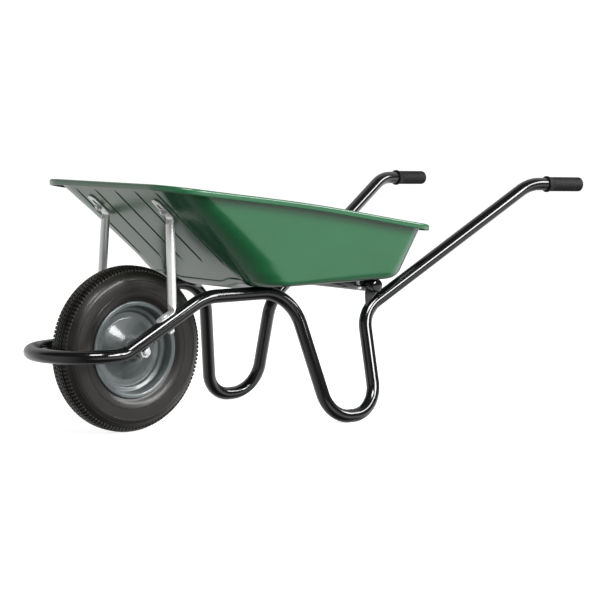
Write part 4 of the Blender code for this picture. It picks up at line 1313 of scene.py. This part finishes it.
# Rows of the tread from the crown to the shoulder: distance in mm, share of the depth, and kind.
TREAD_ROWS = ((0.0, 0.0, "rib"), (2.8, 0.0, "rib"), (3.3, 1.0, "groove"), (5.5, 1.0, "groove"),
              (6.0, 0.0, "rib"), (10.2, 0.0, "rib"), (10.7, 1.0, "groove"), (12.9, 1.0, "groove"),
              (13.4, 0.0, "rib"), (17.6, 0.0, "rib"), (18.1, 1.0, "groove"), (20.3, 1.0, "groove"),
              (20.8, 0.0, "lug"), (23.8, 0.0, "lug"), (26.8, 0.0, "lug"), (29.8, 0.0, "lug"),
              (30.8, 0.40, "end"), (32.8, 0.7, "wall"))
SIDE_RIDGES = (0.046, 0.0575, 0.0835)     # rings round the sidewall, by distance from the crown
RIDGE_HALF = 0.0008             # half the width of such a ring
RIDGE_HEIGHT = 0.0006
RIB_COLUMNS = (0.0, 0.07, 0.12, 0.30, 0.5, 0.70, 0.88, 0.93)       # shares of a pitch, on the ribs
LUG_COLUMNS = (0.0, 0.13, 0.18, 0.32, 0.5, 0.68, 0.82, 0.87)       # and on the shoulder
SLOT_COLUMNS = (0, 1, 7)        # columns in the slots between the blocks
RIB_SLOT = 0.75                 # share of the depth of the slots across the ribs
LUG_SLOT = 0.9                  # and of those between the shoulder lugs
ZIGZAG = 0.0013                 # sideways swing of the grooves
SHOULDER_DEPTH = 0.7            # share of the depth where the tread ends
SHOULDER_FADE = 0.022           # distance over which the sidewall rises again from there
TYRE_INSIDE = ((0.1040, 0.0225), (0.1200, 0.0290), (0.1500, 0.0330), (0.1760, 0.0245), (0.1845, 0.0100))
VALVE_TURN = math.radians(200)  # where the valve stands round the wheel
VALVE_INSET = 0.004             # of the stem's two ends, inside its box


class BARROW_OT_tyre(bpy.types.Operator):
    """The tyre with its zigzag tread and shoulder lugs, and the inner tube's valve"""
    bl_idname = "barrow.tyre"
    bl_label = "Tyre"

    def execute(self, context):
        wheel = context.scene.barrow_wheel
        points, lengths = tyre_section()
        rows = [(d / 1000, depth, kind) for d, depth, kind in TREAD_ROWS]
        last, columns = rows[-1][0], len(RIB_COLUMNS)
        side_rows = {last + (lengths[-1] - last) * k / 26 for k in range(1, 27)}
        for ridge in SIDE_RIDGES:
            side_rows = {d for d in side_rows if abs(d - ridge) > 0.0016}
            side_rows |= {ridge + offset for offset in (-0.0012, -0.0005, 0.0005, 0.0012)}
        rows += [(d, 1.0, "wall") for d in sorted(side_rows)]
        whole = [(-1, row) for row in reversed(rows[1:])] + [(1, row) for row in rows]
        inside = list(TYRE_INSIDE) + [(r, -y) for r, y in reversed(TYRE_INSIDE)]
        rings = []
        for pitch in range(wheel.tread_pitches):
            for column in range(columns):
                ring = [self.tread_point(wheel, points, lengths, pitch, column, sign, *row)
                        for sign, row in whole]
                angle = self.turn(wheel, pitch + LUG_COLUMNS[column])
                rings.append(ring + [self.at(r, y, angle) for r, y in inside])
        piece("tyre_treaded", skin(rings, along=True), "tyre_rubber", "wheel", ("tyre",), sharp=28)
        self.valve()
        frame["nodes"]["inner_tube"].material_slots[0].material = finish_of("tyre_rubber")
        return {"FINISHED"}

    @staticmethod
    def at(radius, across, angle):
        return AXLE + Vector((radius * math.cos(angle), across, radius * math.sin(angle)))

    @staticmethod
    def turn(wheel, pitches):
        return 2 * math.pi * pitches / wheel.tread_pitches

    def tread_point(self, wheel, points, lengths, pitch, column, sign, distance, depth, kind):
        """A point of the outside: on a block or in a groove of the tread, or on the sidewall."""
        on_rib = kind in ("rib", "groove")
        share = (RIB_COLUMNS if on_rib else LUG_COLUMNS)[column]
        zigzag = ZIGZAG * (4 * abs(share - 0.5) - 1) if on_rib and distance else 0.0
        slot = column in SLOT_COLUMNS
        if kind == "rib" and slot:
            depth = max(depth, RIB_SLOT)
        if kind in ("lug", "end") and slot:
            depth = LUG_SLOT
        (radius, across), (out, sideways) = on_section(points, lengths, distance + zigzag)
        sunk = wheel.tread_depth * depth
        last = TREAD_ROWS[-1][0] / 1000
        if kind == "wall":
            fade = 1 - smooth_step(last, last + SHOULDER_FADE, distance)
            sunk = wheel.tread_depth * SHOULDER_DEPTH * fade
            sunk -= RIDGE_HEIGHT * any(abs(distance - ridge) < RIDGE_HALF for ridge in SIDE_RIDGES)
        angle = self.turn(wheel, pitch + share + (0.5 if sign < 0 else 0.0))
        return self.at(radius - out * sunk, sign * (across - sideways * sunk), angle)

    def valve(self):
        """The valve stem and its knurled cap, by the right disc."""
        out = Vector((math.cos(VALVE_TURN), 0, math.sin(VALVE_TURN)))
        low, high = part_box("valve_stem")
        cap_low, cap_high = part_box("valve_cap")
        base = AXLE + ACROSS * ((low.y + high.y) / 2)
        corners = [Vector((x, 0, z)) - Vector((AXLE.x, 0, AXLE.z))
                   for x in (low.x, high.x) for z in (low.z, high.z)]
        near = min(corner.dot(out) for corner in corners) + VALVE_INSET
        far = max(corner.dot(out) for corner in corners) - VALVE_INSET
        stem = [(CENTRE_RADIUS, near), (0.0030, near), (0.0034, near + 0.002), (0.0040, near + 0.008),
                (0.0040, far - 0.001), (0.0036, far), (CENTRE_RADIUS, far)]
        piece("valve_stem_turned", lathed(stem, 32, base, out, closed=False), "bearing_steel", "wheel",
              ("valve_stem",))
        middle = (cap_low + cap_high) / 2
        reach = (middle - base).dot(out)
        across, third = arms_round(out)
        rings = []
        for height, radius in ((-0.0050, 0.0030), (-0.0046, 0.0048), (-0.0035, 0.0054), (0.0035, 0.0054),
                               (0.0046, 0.0052), (0.0050, 0.0046)):
            rings.append([base + out * (reach + height) + (across * c + third * s)
                          * (radius - (0.0003 if i % 2 else 0.0)) for i, (c, s) in enumerate(circle(36))])
        piece("valve_cap_knurled", skin(rings, caps=True), "tyre_rubber", "wheel", ("valve_cap",), sharp=30)


# ---------------------------------------------------------------- grips

GRIP_RADIUS = 0.0182
GRIP_LENGTH = 0.112
GRIP_RING = 0.0052              # distance between two rings
GRIP_GROOVE = 0.0007            # depth of the grooves between them
GRIP_END = [(CENTRE_RADIUS, 0.0), (GRIP_RADIUS - 0.0042, 0.0), (GRIP_RADIUS - 0.0020, -0.0007),
            (GRIP_RADIUS - 0.0006, -0.0022), (GRIP_RADIUS, -0.0045)]
# The collar at the grip's open end: how far it stands out, and its distance from that end.
GRIP_COLLAR = ((0.0, 0.008), (0.0012, 0.0060), (0.0020, 0.0050), (0.0024, 0.0042), (0.0024, 0.0010),
               (0.0018, 0.0))


class BARROW_OT_grips(bpy.types.Operator):
    """The grips with their collar, rings and rounded end"""
    bl_idname = "barrow.grips"
    bl_label = "Grips"

    def execute(self, context):
        sizes = context.scene.barrow_frame
        for name, side in SIDES.items():
            end = mirrored(sizes.handle_end, side)
            direction = (end - mirrored(sizes.handle_bend, side)).normalized()
            bore, groove = sizes.tube_radius + 0.0002, GRIP_RADIUS - GRIP_GROOVE
            line = list(GRIP_END)
            for k in range(17):
                start = -0.010 - GRIP_RING * k
                line += [(GRIP_RADIUS, start + 0.0006), (groove, start), (groove, start - 0.0012),
                         (GRIP_RADIUS, start - 0.0018)]
            line += [(GRIP_RADIUS + out, inward - GRIP_LENGTH) for out, inward in GRIP_COLLAR]
            line += [(bore, -GRIP_LENGTH), (bore, 0.004 - GRIP_LENGTH)]
            piece("grip_ringed_" + name, lathed(line, 64, end, direction, closed=False), "grip_rubber",
                  stands_for=("grip_" + name,), sharp=50)
        return {"FINISHED"}


# ---------------------------------------------------------------- stage

WHITE_BEHIND = 1.05             # brightness of the background to the camera
FLOOR_REACH = 40.0
FLOOR_DROP = 0.0005             # the floor lies this far below the tyre and the legs
MIDDLE = (-0.1, 0, 0.3)
# Name, place, target, width, height and power of each softbox.
SOFTBOXES = (("key", (1.8, -2.15, 1.80), MIDDLE, 2.8, 0.70, 85),
             ("front_right", (0.60, -3.07, 1.25), (0.3, -0.225, 0.39), 1.3, 0.7, 55),
             ("above_camera", (-1.0, -2.13, 2.23), MIDDLE, 1.0, 0.8, 55))


def aim(location, target):
    """The turn of a light that looks from one place at another."""
    return (Vector(target) - Vector(location)).to_track_quat("-Z", "Y").to_matrix().to_4x4()


def softbox(name, location, target, width, height, power):
    """A rectangular light that the camera doesn't see."""
    light = bpy.data.lights.new(name, "AREA")
    light.shape, light.size, light.size_y, light.energy = "RECTANGLE", width, height, power
    obj = bpy.data.objects.new(name, light)
    obj.matrix_world = Matrix.Translation(location) @ aim(location, target)
    obj.visible_camera = False
    bpy.context.scene.collection.objects.link(obj)


class BARROW_OT_stage(bpy.types.Operator):
    """Floor, light and camera"""
    bl_idname = "barrow.stage"
    bl_label = "Stage"

    def execute(self, context):
        scene = context.scene
        self.floor(scene)
        self.light_world(scene)
        for softbox_sizes in SOFTBOXES:
            softbox(*softbox_sizes)
        self.camera(scene, scene.barrow_stage)
        scene.view_settings.view_transform = "Standard"
        return {"FINISHED"}

    @staticmethod
    def floor(scene):
        mesh, reach = bpy.data.meshes.new("floor"), FLOOR_REACH
        mesh.from_pydata([(-reach, -reach, 0), (reach, -reach, 0), (reach, reach, 0), (-reach, reach, 0)],
                         [], [(0, 1, 2, 3)])
        mesh.materials.append(finish_of("studio_floor"))
        floor = bpy.data.objects.new("floor", mesh)
        floor.location.z = -FLOOR_DROP
        floor.visible_glossy = floor.visible_diffuse = False
        scene.collection.objects.link(floor)

    @staticmethod
    def camera(scene, stage):
        """The camera, turned to its heading, then tilted, then rolled."""
        camera = bpy.data.cameras.new("camera")
        camera.lens, camera.sensor_width = stage.lens, 36.0
        camera.clip_end = 100
        obj = bpy.data.objects.new("camera", camera)
        forward = Vector((math.cos(stage.yaw) * math.cos(stage.pitch),
                          math.sin(stage.yaw) * math.cos(stage.pitch), math.sin(stage.pitch)))
        right = forward.cross(UP).normalized()
        lift = right.cross(forward)
        turned_right = right * math.cos(stage.roll) + lift * math.sin(stage.roll)
        turned_lift = lift * math.cos(stage.roll) - right * math.sin(stage.roll)
        matrix = Matrix((turned_right, turned_lift, -forward)).transposed().to_4x4()
        obj.matrix_world = Matrix.Translation(stage.camera) @ matrix
        scene.collection.objects.link(obj)
        scene.camera = obj

    @staticmethod
    def light_world(scene):
        """White behind the barrow; dimmer where the camera stands, with a low bright band to its right."""
        world = bpy.data.worlds.new("studio")
        scene.world = world
        world.use_nodes = True
        sky = Nodes(world.node_tree)
        ray = sky.node("ShaderNodeTexCoord", out="Generated")

        def towards(direction):
            return sky.node("ShaderNodeVectorMath", {"operation": "DOT_PRODUCT"}, {0: ray, 1: direction},
                            out="Value")

        height = towards((0, 0, 1))
        behind = towards((0.63, 0.77, 0)).clamped(-0.05, 0.40)
        right = towards((0.776, -0.63, 0)).clamped(0.05, 0.60)
        band = right * height.clamped(-0.62, -0.42) * (1.0 - height.clamped(-0.12, -0.02))
        left = towards((-0.776, 0.63, 0)).clamped(-0.2, 0.9) * (1.0 - height.clamped(0.2, 0.5))
        far = behind * (0.40 - height.clamped(-0.06, 0.02) * 0.30 + height.clamped(0.25, 0.50) * 0.50)
        light = 0.08 + far + band * 0.9 + left * 0.62
        camera = sky.node("ShaderNodeLightPath", out="Is Camera Ray")
        background = world.node_tree.nodes["Background"]
        background.inputs["Color"].default_value = (1, 1, 1, 1)
        strength = light + camera * (WHITE_BEHIND - light)
        sky.tree.links.new(strength.socket, background.inputs["Strength"])


# ---------------------------------------------------------------- add-on

class BARROW_PT_panel(bpy.types.Panel):
    """The sidebar's list of steps, in the order in which they are run"""
    bl_idname = "BARROW_PT_panel"
    bl_label = "Wheelbarrow"
    bl_space_type = "VIEW_3D"
    bl_region_type = "UI"
    bl_category = "Barrow"

    def draw(self, context):
        for operator in OPERATORS:
            self.layout.operator(operator.bl_idname)


OPERATORS = (BARROW_OT_stage, BARROW_OT_frame_tube, BARROW_OT_crossbar, BARROW_OT_front_tabs,
             BARROW_OT_axle_brackets, BARROW_OT_tray, BARROW_OT_struts, BARROW_OT_fasteners,
             BARROW_OT_axle, BARROW_OT_rims, BARROW_OT_tyre, BARROW_OT_grips)
CLASSES = tuple(GROUPS.values()) + OPERATORS + (BARROW_PT_panel,)


def register():
    for cls in CLASSES:
        bpy.utils.register_class(cls)
    for name, group in GROUPS.items():
        setattr(bpy.types.Scene, name, PointerProperty(type=group))


def unregister():
    for name in GROUPS:
        delattr(bpy.types.Scene, name)
    for cls in reversed(CLASSES):
        bpy.utils.unregister_class(cls)


def main():
    register()
    for operator in OPERATORS:
        name = operator.bl_idname.split(".")[1]
        getattr(bpy.ops.barrow, name)()


if __name__ == "__main__":
    main()
